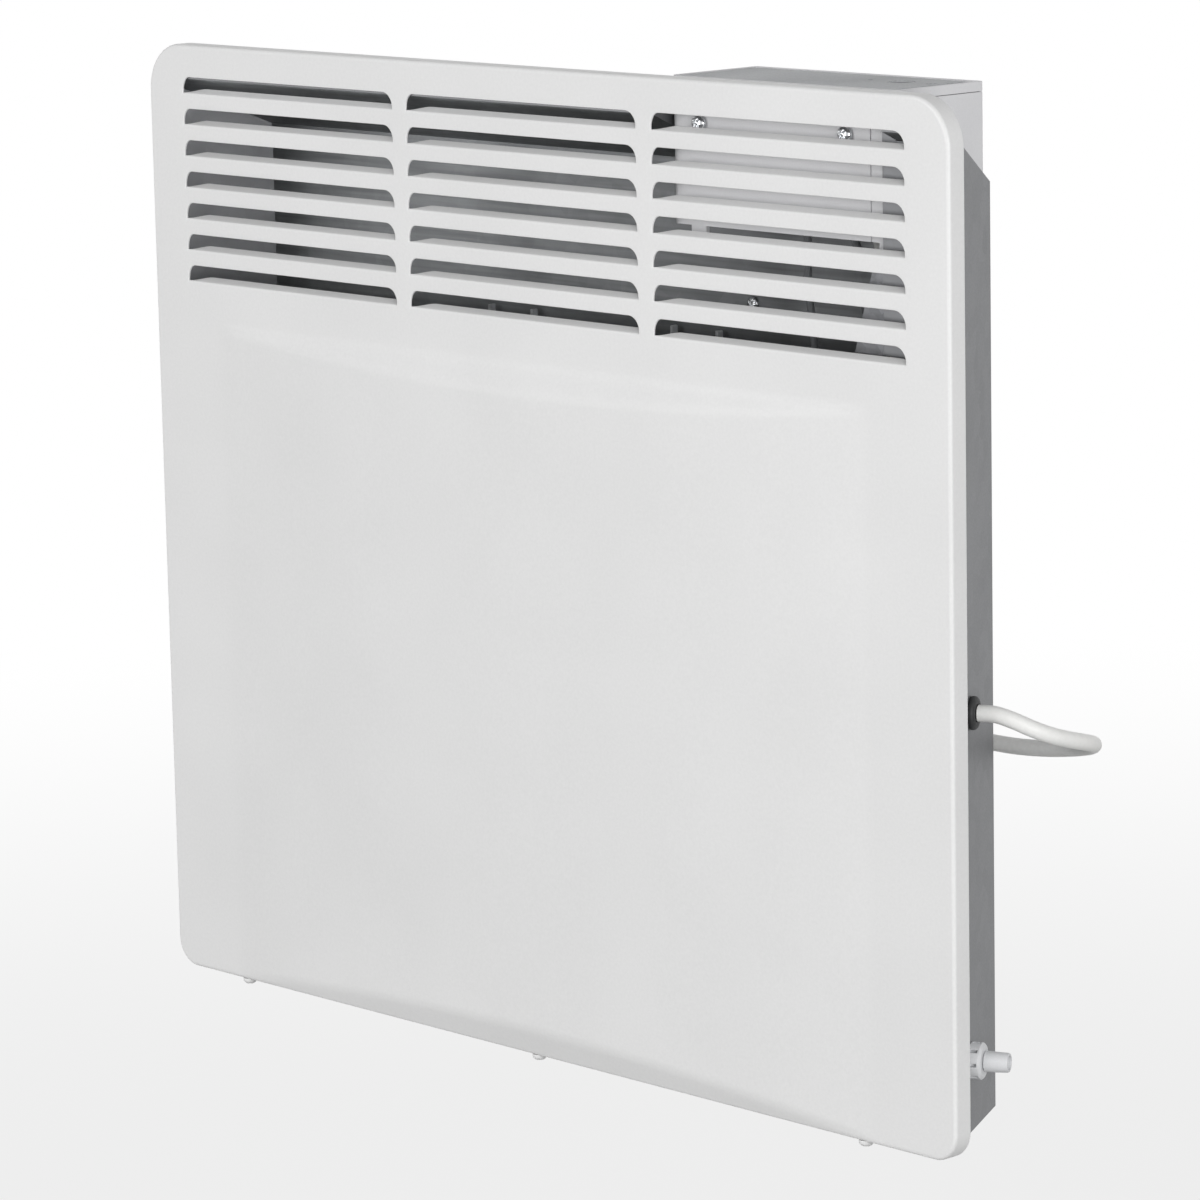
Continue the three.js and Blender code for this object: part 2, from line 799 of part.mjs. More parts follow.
function inletGrille() {
  const low = sheet + seatGap;
  const front = flangeDepth + sheet;
  const rear = casingFloor - sideFit;
  const side = [
    [lipDepth, low],
    [front + sheet, low],
    [front + sheet, casingBase],
    [rear, casingBase],
    [rear, casingBase + sheet],
    [front, casingBase + sheet],
    [front, low + sheet],
    [lipDepth, low + sheet],
  ];
  const strip = prism("x", side, -casingHalf, casingHalf);
  const fitted = strip.intersect(
    prism("z", casingPlan(0, casingFloor, sheet + sideFit), -cutOverrun, panelHeight),
  );
  const lipHalf = panelWidth / 2 - panelCorner - cutOverrun;
  const lowZone = [-1, 1].map((side) =>
    block(
      Math.min(side * lipHalf, side * panelWidth),
      Math.max(side * lipHalf, side * panelWidth),
      0,
      flangeDepth + seatGap + sheet + cutOverrun,
      0,
      casingBase - seatGap,
    ),
  );
  const slots = [];
  for (let row = 0; row < grilleRows; row++) {
    for (let i = 0; i < grilleSlotCount; i++) {
      const left = (i - grilleSlotCount / 2) * grilleSlotPitch;
      const start = left + (grilleSlotPitch - grilleSlotLength) / 2;
      const near = grilleFirstRow + row * grilleRowPitch;
      const far = near + grilleSlotWidth;
      const end = start + grilleSlotLength;
      slots.push(block(start, end, near, far, casingBase - sheet, casingBase + 2 * sheet));
    }
  }
  const holes = Object.values(panelScrewPlaces).map((x) =>
    rod("z", panelScrewShank + screwHole, low - sheet, low + 2 * sheet, [x, panelScrewDepth, 0]),
  );
  return cut(fitted, ...lowZone, ...slots, ...holes, flangeZone());
}
addPiece("inlet_grille", inletGrille(), galvanised);

for (const [place, x] of Object.entries(panelScrewPlaces)) {
  const crown = panelScrewHeadHeight * Math.SQRT1_2;
  const screw = turned(
    "z",
    [
      [0, -panelScrewHeadHeight - seatGap],
      [panelScrewHead * Math.SQRT1_2, -panelScrewHeadHeight - seatGap],
      [panelScrewHead, -crown],
      [panelScrewHead, -seatGap],
      [panelScrewShank, -seatGap],
      [panelScrewShank, panelScrewLength],
      [0, panelScrewLength],
    ],
    [x, panelScrewDepth, 0],
  );
  addPiece(`panel_screw_${place}`, screw, whiteEnamel);
}

// A rectangle in plan with its own radius at the front and at the rear corners
function boxPlan(inset) {
  const left = boxLeft + inset;
  const right = boxRight - inset;
  const front = boxFront + inset;
  const rear = boxRear - inset;
  const nose = boxFrontCorner - inset;
  const heel = Math.max(boxRearCorner - inset, boxRearCorner / 2);
  const shape = new THREE.Shape();
  shape.moveTo(left + nose, front);
  shape.absarc(right - nose, front + nose, nose, -quarterTurn, 0);
  shape.absarc(right - heel, rear - heel, heel, 0, quarterTurn);
  shape.absarc(left + heel, rear - heel, heel, quarterTurn, halfTurn);
  shape.absarc(left + nose, front + nose, nose, halfTurn, halfTurn + quarterTurn);
  return shape;
}

const boxTop = panelHeight - coverHeight;
const boxFloor = boxBase + boxWall;
const boxMiddle = (boxLeft + boxRight) / 2;
const postPlaces = [boxLeft + postInset, boxRight - postInset].flatMap((x) =>
  [boxFront + postInset, boxRear - postInset].map((y) => [x, y]),
);
const boxScrewPlaces = {
  left: boxMiddle - boxFrontCorner - boxScrewSpacing / 2,
  right: boxMiddle - boxFrontCorner + boxScrewSpacing / 2,
};
const leadPlaces = [0, 1, 2].map((i) => firstLead + i * leadPitch);
const cordTailPlace = firstLead + 3 * leadPitch;
const sensorLeadPlace = boxRight - postInset;
const sensorLeadDepth = boxFront + 2 * postInset + leadRadius;

function controlBox() {
  const outer = prism("z", boxPlan(0), boxBase, boxTop - seatGap);
  const inner = prism("z", boxPlan(boxWall), boxFloor, boxTop + cutOverrun);
  const posts = postPlaces.map(([x, y]) =>
    rod("z", postRadius, boxBase + boxWall / 2, boardHeight - seatGap, [x, y, 0]),
  );
  const leftFoot = boxLeft + leftFootInset;
  const rightFoot = boxRight - rightFootInset;
  const footSpans = [[leftFoot, leftFoot + leftFootWidth], [rightFoot, rightFoot + rightFootWidth]];
  const feet = footSpans.map((span) =>
    block(
      ...span,
      boxFront + boxFootThickness / 2,
      boxFront + boxFootThickness * 1.5,
      boxBase - boxFootHeight,
      boxBase + boxWall / 2,
    ),
  );
  const tub = join(cut(outer, inner), ...posts, ...feet);
  const screwHoles = Object.values(boxScrewPlaces).map((x) =>
    rod("y", boxScrewShank + screwHole, -cutOverrun, boxWall + cutOverrun, [
      x,
      boxFront,
      boxScrewHeight,
    ]),
  );
  const postHoles = postPlaces.map(([x, y]) =>
    rod("z", boardScrewShank + screwHole, boardHeight - 2 * boardScrewLength, boardHeight, [x, y, 0]),
  );
  const seam = block(
    boxSeam,
    boxSeam + boxSeamWidth,
    boxFront - cutOverrun,
    boxFront + boxSeamDepth,
    boxBase - cutOverrun,
    boxTop,
  );
  const floorHole = (x, y, radius) =>
    rod("z", radius + leadClearance, boxBase - cutOverrun, boxFloor + cutOverrun / 2, [x, y, 0]);
  const leadHoles = leadPlaces.map((x) => floorHole(x, blockDepth, leadRadius));
  const tailHole = floorHole(cordTailPlace, blockDepth, cordRadius);
  const sensorHole = floorHole(sensorLeadPlace, sensorLeadDepth, leadRadius);
  return cut(tub, ...screwHoles, ...postHoles, seam, ...leadHoles, tailHole, sensorHole);
}
addPiece("control_box", controlBox(), whitePlastic);

const coverFace = panelHeight - coverRecess;
const plateUnder = coverFace - coverPlate;

// The cover: a thin rim round a slightly sunk face with the holes for the controls
function boxCover() {
  const outer = prism("z", boxPlan(0), boxTop, panelHeight);
  const sunk = prism("z", boxPlan(coverRim), coverFace, panelHeight + cutOverrun);
  const hollow = prism("z", boxPlan(boxWall), boxTop - cutOverrun, plateUnder);
  const hole = (x, radius) =>
    rod("z", radius + seatGap, plateUnder - cutOverrun, panelHeight, [x, controlRow, 0]);
  const holes = [
    hole(buttonPlace, buttonRadius),
    hole(lightPlace, lightRadius),
    hole(receiverPlace, receiverRadius),
  ];
  return cut(outer, sunk, hollow, ...holes);
}
addPiece("control_box_cover", boxCover(), greyPlastic);

const boardTop = boardHeight + boardThickness;
const flangeTop = plateUnder - seatGap;
const switchBase = boardTop + seatGap;
const plungerTop = switchBase + switchHeight + switchPlungerHeight;
const stemEnd = plungerTop + buttonTravel + seatGap / 2;

const button = turned(
  "z",
  [
    [0, stemEnd],
    [buttonStem, stemEnd],
    [buttonStem, flangeTop - buttonFlangeHeight],
    [buttonFlange, flangeTop - buttonFlangeHeight],
    [buttonFlange, flangeTop],
    [buttonRadius, flangeTop],
    [buttonRadius, coverFace],
    [0, coverFace],
  ],
  [buttonPlace, controlRow, 0],
  2 * roundSides,
);
addPiece("power_button", button, greyPlastic);

const light = turned(
  "z",
  [
    [0, boardTop + seatGap],
    [lightFoot, boardTop + seatGap],
    [lightFoot, boardTop + seatGap + lightFootHeight],
    [lightRadius, boardTop + seatGap + lightFootHeight],
    [lightRadius, coverFace],
    [0, coverFace],
  ],
  [lightPlace, controlRow, 0],
);
addPiece("status_light_pipe", light, paleGreyPlastic);

const receiver = rod("z", receiverRadius, plateUnder, coverFace, [receiverPlace, controlRow, 0]);
addPiece("receiver_window", receiver, darkPlastic);

function circuitBoard() {
  const plate = block(
    boxLeft + boardInset,
    boxRight - boardInset,
    boxFront + boardInset,
    boxRear - boardInset,
    boardHeight,
    boardTop,
  );
  const holes = postPlaces.map(([x, y]) =>
    rod("z", boardScrewShank + screwHole, boardHeight - cutOverrun, boardTop + cutOverrun, [x, y, 0]),
  );
  return cut(plate, ...holes);
}
addPiece("circuit_board", circuitBoard(), circuitGreen);

postPlaces.forEach(([x, y], i) => {
  const seat = boardTop + seatGap;
  const screw = turned(
    "z",
    [
      [0, boardTop - boardThickness - boardScrewLength],
      [boardScrewShank, boardTop - boardThickness - boardScrewLength],
      [boardScrewShank, seat],
      [boardScrewHead, seat],
      [boardScrewHead, seat + boardScrewHeadHeight / 2],
      [boardScrewHead / 2, seat + boardScrewHeadHeight],
      [0, seat + boardScrewHeadHeight],
    ],
    [x, y, 0],
    roundSides / 2,
  );
  addPiece(`board_screw_${i + 1}`, screw, chromedSteel);
});

const tactSwitch = join(
  block(
    buttonPlace - switchSize / 2,
    buttonPlace + switchSize / 2,
    controlRow - switchSize / 2,
    controlRow + switchSize / 2,
    switchBase,
    switchBase + switchHeight,
  ),
  rod("z", switchPlungerRadius, switchBase + switchHeight / 2, plungerTop, [
    buttonPlace,
    controlRow,
    0,
  ]),
);
addPiece("button_switch", tactSwitch, darkPlastic);

// Parts hung under the board: the load relay, the mains filter capacitor and the power supply
function underBoard(place, length, width, height) {
  const top = boardHeight - seatGap;
  return block(
    place - length / 2,
    place + length / 2,
    relayDepth - width / 2,
    relayDepth + width / 2,
    top - height,
    top,
  );
}
addPiece("load_relay", underBoard(relayPlace, relayLength, relayWidth, relayHeight), darkPlastic);
addPiece(
  "filter_capacitor",
  underBoard(capacitorPlace, capacitorLength, capacitorWidth, capacitorHeight),
  paleGreyPlastic,
);
addPiece(
  "power_supply",
  underBoard(supplyPlace, supplyLength, supplyWidth, supplyHeight),
  darkPlastic,
);

const wirePlaces = [...leadPlaces, cordTailPlace];

function terminalBlock() {
  const base = boxFloor + seatGap;
  const body = block(
    blockLeft,
    blockLeft + blockLength,
    blockDepth - blockWidth / 2,
    blockDepth + blockWidth / 2,
    base,
    base + blockHeight,
  );
  const sinks = wirePlaces.map((x) =>
    rod("z", blockScrewRadius, base + blockHeight - blockScrewSink, base + blockHeight + cutOverrun, [
      x,
      blockDepth,
      0,
    ]),
  );
  return cut(body, ...sinks);
}
addPiece("terminal_block", terminalBlock(), ceramic);

for (const [place, x] of Object.entries(boxScrewPlaces)) {
  const seat = -seatGap;
  const screw = turned(
    "y",
    [
      [0, seat - boxScrewHeadHeight],
      [boxScrewHead / 2, seat - boxScrewHeadHeight],
      [boxScrewHead * Math.SQRT1_2, seat - boxScrewHeadHeight * Math.SQRT1_2],
      [boxScrewHead, seat - boxScrewHeadHeight / 3],
      [boxScrewHead, seat],
      [boxScrewShank, seat],
      [boxScrewShank, boxScrewLength],
      [0, boxScrewLength],
    ],
    [x, boxFront, boxScrewHeight],
  );
  addPiece(`control_box_screw_${place}`, screw, chromedSteel);
}

// The element: a round core with a web and slanted wings, one aluminium extrusion
function heatingElement() {
  const fin = (halfLength, angle) => {
    const blade = block(
      -elementHalfLength,
      elementHalfLength,
      -finThickness / 2,
      finThickness / 2,
      -halfLength,
      halfLength,
    );
    return blade.rotate([THREE.MathUtils.radToDeg(angle), 0, 0]);
  };
  const lean = quarterTurn - wingAngle;
  const core = rod("x", elementCore, -elementHalfLength, elementHalfLength, [0, 0, 0]);
  const wings = [fin(wingHalfLength, lean), fin(wingHalfLength, -lean)];
  const whole = join(core, fin(webHalfHeight, 0), ...wings);
  return whole.translate([0, elementDepth, elementHeight]);
}
addPiece("heating_element", heatingElement(), aluminiumFin);

// Each end of the element: a terminal stud in a ceramic bush, held by a folded steel bracket
const bushStart = elementHalfLength + studRadius;
const plateStart = bushStart + bushFlangeThickness + seatGap;
const studEnd = elementHalfLength + studLength;

function bracketAt(side) {
  const inside = plateStart;
  const outside = plateStart + bracketPlate;
  const along = (from, to) => [Math.min(side * from, side * to), Math.max(side * from, side * to)];
  const low = elementHeight - bracketHalfHeight;
  const high = elementHeight + bracketHalfHeight;
  const rear = casingFloor - seatGap;
  const plate = block(...along(inside, outside), bracketFrontDepth, rear, low, high);
  const foot = block(...along(outside - bracketFoot, outside), rear - bracketPlate, rear, low, high);
  const bore = rod("x", bushRadius + bushClearance, -panelWidth, panelWidth, [
    0,
    elementDepth,
    elementHeight,
  ]);
  const half = block(...along(0, panelWidth), 0, wallDistance, low - bushRadius, high + bushRadius);
  const rivetHole = rod("y", rivetShank + screwHole, 0, wallDistance, [
    side * rivetPlace,
    0,
    elementHeight - rivetDrop,
  ]);
  return cut(join(plate, foot), bore.intersect(half), rivetHole);
}

for (const [place, side] of Object.entries(bracketPlaces)) {
  const centre = [0, elementDepth, elementHeight];
  const mirrored = (profile) => profile.map(([radius, x]) => [radius, side * x]);
  const bush = turned(
    "x",
    mirrored([
      [studRadius + seatGap, bushStart],
      [bushFlange, bushStart],
      [bushFlange, bushStart + bushFlangeThickness],
      [bushRadius, bushStart + bushFlangeThickness],
      [bushRadius, bushStart + bushLength],
      [studRadius + seatGap, bushStart + bushLength],
      [studRadius + seatGap, bushStart],
    ]),
    centre,
  );
  const stud = turned(
    "x",
    mirrored([
      [0, elementHalfLength + seatGap],
      [studRadius, elementHalfLength + seatGap],
      [studRadius, studEnd],
      [0, studEnd],
    ]),
    centre,
  );
  addPiece(`element_bracket_${place}`, bracketAt(side), galvanised);
  addPiece(`element_bush_${place}`, bush, ceramic);
  addPiece(`element_terminal_${place}`, stud, chromedSteel);
}

// Rivets through the casing's rear wall into the feet of the brackets
function rearRivet(x, z) {
  const head = casingDepth + seatGap;
  const inside = casingFloor - 2 * bracketPlate - seatGap;
  return turned(
    "y",
    [
      [0, inside],
      [rivetShank, inside],
      [rivetShank, head],
      [rivetHead, head],
      [rivetHead * Math.SQRT1_2, head + rivetHeadHeight * Math.SQRT1_2],
      [rivetHead / 2, head + rivetHeadHeight],
      [0, head + rivetHeadHeight],
    ],
    [x, 0, z],
  );
}
for (const [place, side] of Object.entries(bracketPlaces)) {
  const rivet = rearRivet(side * rivetPlace, elementHeight - rivetDrop);
  addPiece(`bracket_rivet_${place}`, rivet, galvanised);
}
addPiece("cutout_rivet", rearRivet(cutoutRivetPlace, cutoutRivetHeight), galvanised);

// Bracket for the cut-out: a foot on the rear wall, an arm forward and a tapered front tab
function cutoutBracket() {
  const rear = casingFloor - seatGap;
  const foot = block(
    cutoutLeft,
    cutoutRight,
    rear - bracketPlate,
    rear,
    cutoutBase,
    cutoutTop,
  );
  const arm = block(
    cutoutRight - cutoutPlate,
    cutoutRight,
    cutoutDepth,
    rear,
    cutoutBase,
    cutoutScrewHeight,
  );
  const tab = prism(
    "y",
    [
      [cutoutLeft, cutoutBase],
      [cutoutRight, cutoutBase],
      [cutoutRight, cutoutScrewHeight],
      [cutoutTopRight, cutoutTop],
      [cutoutTopLeft, cutoutTop],
    ],
    cutoutDepth,
    cutoutDepth + cutoutPlate,
  );
  const screwHoleAt = rod("y", cutoutScrewHead / 2 + screwHole, 0, cutoutDepth + cutOverrun, [
    cutoutScrewPlace,
    0,
    cutoutScrewHeight,
  ]);
  const rivetHole = rod("y", rivetShank + screwHole, rear - cutOverrun, casingDepth, [
    cutoutRivetPlace,
    0,
    cutoutRivetHeight,
  ]);
  return cut(join(foot, arm, tab), screwHoleAt, rivetHole);
}
addPiece("cutout_bracket", cutoutBracket(), galvanised);

const cutoutCentre = [(cutoutLeft + cutoutTopRight) / 2, 0, (cutoutBase + cutoutTop) / 2];
const cutoutFace = cutoutDepth + cutoutPlate + seatGap;
const cutoutBack = cutoutFace + cutoutBodyLength;

function thermalCutout() {
  const [x, , z] = cutoutCentre;
  const body = rod("y", cutoutRadius, cutoutFace, cutoutBack, cutoutCentre);
  const halfTab = cutoutTabWidth / 2;
  const tabs = [-1, 1].map((side) =>
    block(
      x - halfTab,
      x + halfTab,
      cutoutBack - cutoutTabLength / 2,
      cutoutBack - cutoutTabLength / 2 + cutoutTabThickness,
      Math.min(z, z + side * cutoutTabReach),
      Math.max(z, z + side * cutoutTabReach),
    ),
  );
  return join(body, ...tabs);
}
addPiece("thermal_cutout", thermalCutout(), darkPlastic);

const cutoutScrew = turned(
  "y",
  [
    [0, cutoutDepth - cutoutScrewHead],
    [cutoutScrewHead / 2, cutoutDepth - cutoutScrewHead],
    [cutoutScrewHead, cutoutDepth - cutoutScrewHead / 2],
    [cutoutScrewHead, cutoutDepth - seatGap],
    [cutoutScrewHead / 2, cutoutDepth - seatGap],
    [cutoutScrewHead / 2, cutoutDepth + 2 * cutoutPlate],
    [0, cutoutDepth + 2 * cutoutPlate],
  ],
  [cutoutScrewPlace, 0, cutoutScrewHeight],
  roundSides / 2,
);
addPiece("cutout_screw", cutoutScrew, chromedSteel);

// Inner leads, each from its terminal to the underside of the terminal block
const at = (x, y, z) => new THREE.Vector3(x, y, z);
const lead = (points) => tube(points, leadRadius, leadSides, 2 * points.length);
const riseTo = (x) => [
  at(x, blockDepth, boxBase - 3 * leadBend),
  at(x, blockDepth, boxBase - leadBend),
  at(x, blockDepth, boxFloor),
];
const leadStart = studEnd + seatGap;
const tabTip = cutoutTabReach + seatGap;
const [cutoutX, , cutoutZ] = cutoutCentre;
const clampRear = outletDepth + 1.5 * leadBend;
const riseBetween = (share) =>
  THREE.MathUtils.lerp(outletHeight + leadBend, cutoutBase - leadBend, share);
const tabDepth = cutoutBack - cutoutTabLength / 2 + cutoutTabThickness / 2;
addPiece(
  "lead_element_to_cutout",
  lead([
    at(leadStart, elementDepth, elementHeight),
    at(leadStart + leadBend / 4, elementDepth, elementHeight),
    at(leadStart + leadBend / 2, elementDepth + leadBend / 4, elementHeight + leadBend / 2),
    at(leadStart, clampRear, elementHeight + 2 * leadBend),
    at(leadStart - leadBend / 2, clampRear, outletHeight + leadBend),
    at(leadStart - 2 * leadBend, elementDepth, riseBetween(leadLowShare)),
    at(cutoutX + leadBend, tabDepth, riseBetween(leadHighShare)),
    at(cutoutX, tabDepth, cutoutBase - leadBend),
    at(cutoutX, tabDepth, cutoutZ - tabTip),
  ]),
  darkPlastic,
);
addPiece(
  "lead_cutout_to_block",
  lead([
    at(cutoutX, tabDepth, cutoutZ + tabTip),
    at(cutoutX, tabDepth, cutoutZ + tabTip + leadBend / 2),
    at((cutoutX + leadPlaces[2]) / 2, blockDepth, boxBase - 1.5 * leadBend),
    at(leadPlaces[2], blockDepth, boxBase - leadBend / 2),
    at(leadPlaces[2], blockDepth, boxFloor),
  ]),
  darkPlastic,
);
addPiece(
  "lead_element_to_block",
  lead([
    at(-leadStart, elementDepth, elementHeight),
    at(-leadStart - leadBend / 4, elementDepth, elementHeight),
    at(-leadStart - leadBend / 2, elementDepth + leadBend / 4, elementHeight + leadBend / 2),
    at(-leadStart - leadBend / 4, leadRunDepth, elementHeight + 4 * leadBend),
    at(-elementHalfLength, leadRunDepth, leadRunHeight),
    at(-armPlace, leadRunDepth, leadRunHeight),
    at(armPlace, leadRunDepth, leadRunHeight),
    at(leadPlaces[0] - leadBend, leadRunDepth, leadRunHeight + leadBend),
    at(leadPlaces[0], leadRunDepth, leadRunHeight + 4 * leadBend),
    ...riseTo(leadPlaces[0]),
  ]),
  darkPlastic,
);

// The outlet: rubber grommet, clamp behind it and the tail of the cord up to the block
const grommet = turned(
  "x",
  [
    [0, -sheet - seatGap - grommetInner],
    [grommetRadius - seatGap, -sheet - seatGap - grommetInner],
    [grommetRadius - seatGap, -sheet - seatGap],
    [grommetWaist, -sheet - seatGap],
    [grommetWaist, seatGap],
    [grommetRadius, seatGap],
    [grommetRadius, grommetReach - sheet],
    [grommetRadius - sheet, grommetReach],
    [0, grommetReach],
  ],
  [0, 0, 0],
);
addPiece("cord_grommet", onSideWall(grommet, outletDepth, outletHeight), blackRubber);

const clampFace = -sheet - 2 * seatGap - grommetInner;
const clamp = block(
  clampFace - clampReach,
  clampFace,
  -clampHalfWidth,
  clampHalfWidth,
  -clampHalfHeight,
  clampHalfHeight,
);
addPiece("cord_clamp", onSideWall(clamp, outletDepth, outletHeight), whitePlastic);

const outletX = sideAt(outletDepth);
const inwards = (reach) =>
  at(
    outletX - reach * Math.cos(sideSlant),
    outletDepth - reach * Math.sin(sideSlant),
    outletHeight + clampHalfHeight + seatGap,
  );
const tailStart = inwards(-clampFace + clampReach / 2);
addPiece(
  "cord_tail",
  tube(
    [
      tailStart,
      tailStart.clone().add(at(0, 0, leadBend)),
      at(tailStart.x, (tailStart.y + blockDepth) / 2, riseBetween(tailLowShare)),
      at(tailStart.x - leadBend, blockDepth, riseBetween(tailHighShare)),
      at(cordTailPlace, leadRunDepth - cordRadius, cutoutBase - leadBend),
      at(cordTailPlace, blockDepth + leadBend, boxBase - 2 * leadBend),
      at(cordTailPlace, blockDepth, boxBase - leadBend / 2),
      at(cordTailPlace, blockDepth, boxFloor),
    ],
    cordRadius,
    leadSides,
    tailSteps,
  ),
  whiteCordSheath,
);

// The room-temperature sensor: a vented holder clipped into the side wall, and its tip
function sensorHolder() {
  const body = turned(
    "x",
    [
      [0, -sheet - seatGap - holderInnerLength],
      [holderInner, -sheet - seatGap - holderInnerLength],
      [holderInner, -sheet - seatGap],
      [holderWaist, -sheet - seatGap],
      [holderWaist, seatGap],
      [holderRadius, seatGap],
      [holderRadius, holderLength - sheet],
      [holderRadius - sheet, holderLength],
      [0, holderLength],
    ],
    [0, 0, 0],
    2 * roundSides,
  );
  const vents = Array.from({ length: ventCount }, (_, i) =>
    block(
      ventStart,
      ventEnd,
      holderCore,
      holderRadius + cutOverrun,
      -ventWidth / 2,
      ventWidth / 2,
    ).rotate([(i * 360) / ventCount, 0, 0]),
  );
  return cut(body, ...vents);
}
addPiece(
  "sensor_holder",
  onSideWall(sensorHolder(), sensorDepth, sensorHeight),
  paleGreyPlastic,
);

const tipStart = holderLength + seatGap;
const tip = turned(
  "x",
  [
    [0, tipStart],
    [tipRadius, tipStart],
    [tipRadius, tipStart + tipLength],
    [tipBore, tipStart + tipLength],
    [tipBore, tipStart + tipLength - tipBoreDepth],
    [0, tipStart + tipLength - tipBoreDepth],
  ],
  [0, 0, 0],
);
addPiece("sensor_tip", onSideWall(tip, sensorDepth, sensorHeight), paleGreyPlastic);

const sensorX = sideAt(sensorDepth);
const sensorInner = sheet + 2 * seatGap + holderInnerLength;
const behindSensor = (reach, rise) =>
  at(
    sensorX - reach * Math.cos(sideSlant),
    sensorDepth - reach * Math.sin(sideSlant),
    sensorHeight + rise,
  );
const sensorRiser = studEnd - leadBend;
const sensorRiserDepth = bracketFrontDepth - leadBend / 2;
addPiece(
  "lead_sensor",
  lead([
    behindSensor(sensorInner, 0),
    behindSensor(sensorInner + leadBend / 4, 0),
    behindSensor(sensorInner + leadBend / 2, leadBend),
    at(sensorRiser, sensorRiserDepth, elementHeight - 5 * leadBend),
    at(sensorRiser, sensorRiserDepth, elementHeight + 5 * leadBend),
    at(sensorRiser, sensorRiserDepth, cutoutBase - 3 * leadBend),
    at(sensorRiser, bracketFrontDepth + leadBend, cutoutScrewHeight - leadBend / 2),
    at(cutoutRight + 2 * leadRadius, sensorLeadDepth - 2 * leadRadius, cutoutScrewHeight + leadBend),
    at(sensorLeadPlace + leadRadius, sensorLeadDepth, boxBase - leadBend),
    at(sensorLeadPlace, sensorLeadDepth, boxBase - leadBend / 4),
    at(sensorLeadPlace, sensorLeadDepth, boxBase + leadBend),
    at(sensorLeadPlace, sensorLeadDepth, boardHeight - seatGap),
  ]),
  darkPlastic,
);

// Free stretch of the mains lead: out of the grommet, round and down behind the casing. The
// points are offsets from the outlet's centre.
const cordRoute = [
  [2.9, 1.6, 0],
  [6.5, 3.5, 0],
  [9.1, 4.9, -0.2],
  [16, 8.8, -2.5],
  [21.8, 13.8, -5.9],
  [25.9, 20.6, -9.2],
  [27.9, 28.9, -12],
  [27.8, 37.8, -14.5],
  [25.3, 46.3, -16.9],
  [20.8, 53.9, -19.3],
  [14.6, 59.7, -21.8],
  [7.3, 63.1, -24],
  [-0.7, 64.3, -25.7],
  [-14.7, 64, -27.7],
  [-30.7, 63.3, -28.9],
  [-46.7, 62.6, -29],
  [-61.7, 62.3, -29],
  [-76.9, 62.3, -29],
  [-92.4, 62.3, -29],
].map(([x, y, z]) => at(outletX + x, outletDepth + y, outletHeight + z));
addPiece("power_cord", tube(cordRoute, cordRadius, cordSides, cordSteps), whiteCordSheath);

// The coil: it spirals in on the rear layer, crosses in the half turn where it reverses, and
// spirals out on the front layer, then drops straight to the plug
const coilFrontLayer = coilRearLayer - coilLayerPitch;
function coilPoint(turn) {
  const radius = coilRadius(turn);
  const crossing = THREE.MathUtils.clamp(2 * (turn - coilMiddle) + 1 / 2, 0, 1);
  const eased = (1 - Math.cos(crossing * halfTurn)) / 2;
  const angle = quarterTurn + turn * 2 * halfTurn;
  return at(
    coilPlace + radius * Math.cos(angle),
    coilRearLayer - coilLayerPitch * eased,
    coilCentre + radius * Math.sin(angle),
  );
}
const coilSteps = Math.round(coilTurns * coilStepsPerTurn);
const coilLine = Array.from({ length: coilSteps + 1 }, (_, i) =>
  coilPoint((i / coilSteps) * coilTurns),
);
coilLine.unshift(at(coilPlace + coilLead, coilRearLayer, coilTop));
coilLine.push(at(coilPlace - coilOuter, coilFrontLayer, coilCentre - coilTail));

// Rings of points square to a line of points, joined as one tube
function tubeOverLine(line, radius, sides) {
  let across = at(0, 1, 0);
  const rings = line.map((point, i) => {
    const before = line[Math.max(i - 1, 0)];
    const after = line[Math.min(i + 1, line.length - 1)];
    const ahead = after.clone().sub(before).normalize();
    across = across.clone().addScaledVector(ahead, -across.dot(ahead)).normalize();
    const up = new THREE.Vector3().crossVectors(ahead, across);
    return Array.from({ length: sides }, (_, k) => {
      const angle = (k / sides) * 2 * halfTurn;
      return point
        .clone()
        .addScaledVector(across, radius * Math.cos(angle))
        .addScaledVector(up, radius * Math.sin(angle));
    });
  });
  return loft(rings);
}

// The least distance between stretches of the line more than half a turn apart
function leastGap(line, radius) {
  let least = Infinity;
  const apart = coilStepsPerTurn / 2;
  const between = new THREE.Line3();
  const nearest = new THREE.Vector3();
  for (let i = 0; i < line.length; i++) {
    for (let k = i + apart; k < line.length - 1; k++) {
      between.set(line[k], line[k + 1]);
      between.closestPointToPoint(line[i], true, nearest);
      least = Math.min(least, nearest.distanceTo(line[i]));
    }
  }
  return least - 2 * radius;
}
console.log(`coil: least gap to itself ${leastGap(coilLine, cordRadius).toFixed(2)} mm`);
addPiece("cord_coil", tubeOverLine(coilLine, cordRadius, coilSides), whiteCordSheath);

// The tie round the bundle on the coil's right, sized from the turns that pass there
function cordTie() {
  const passes = [];
  for (let turn = 3 / 4; turn < coilTurns; turn++) passes.push(coilPoint(turn).x);
  const left = Math.min(...passes) - cordRadius - tieClearance;
  const right = Math.max(...passes) + cordRadius + tieClearance;
  const front = coilFrontLayer - cordRadius - tieClearance;
  const rear = coilRearLayer + cordRadius + tieClearance;
  const low = coilCentre - tieHeight / 2;
  const high = coilCentre + tieHeight / 2;
  const band = block(
    left - tieThickness,
    right + tieThickness,
    front - tieThickness,
    rear + tieThickness,
    low,
    high,
  );
  return cut(band, block(left, right, front, rear, low - cutOverrun, high + cutOverrun));
}
addPiece("cord_tie", cordTie(), blackRubber);

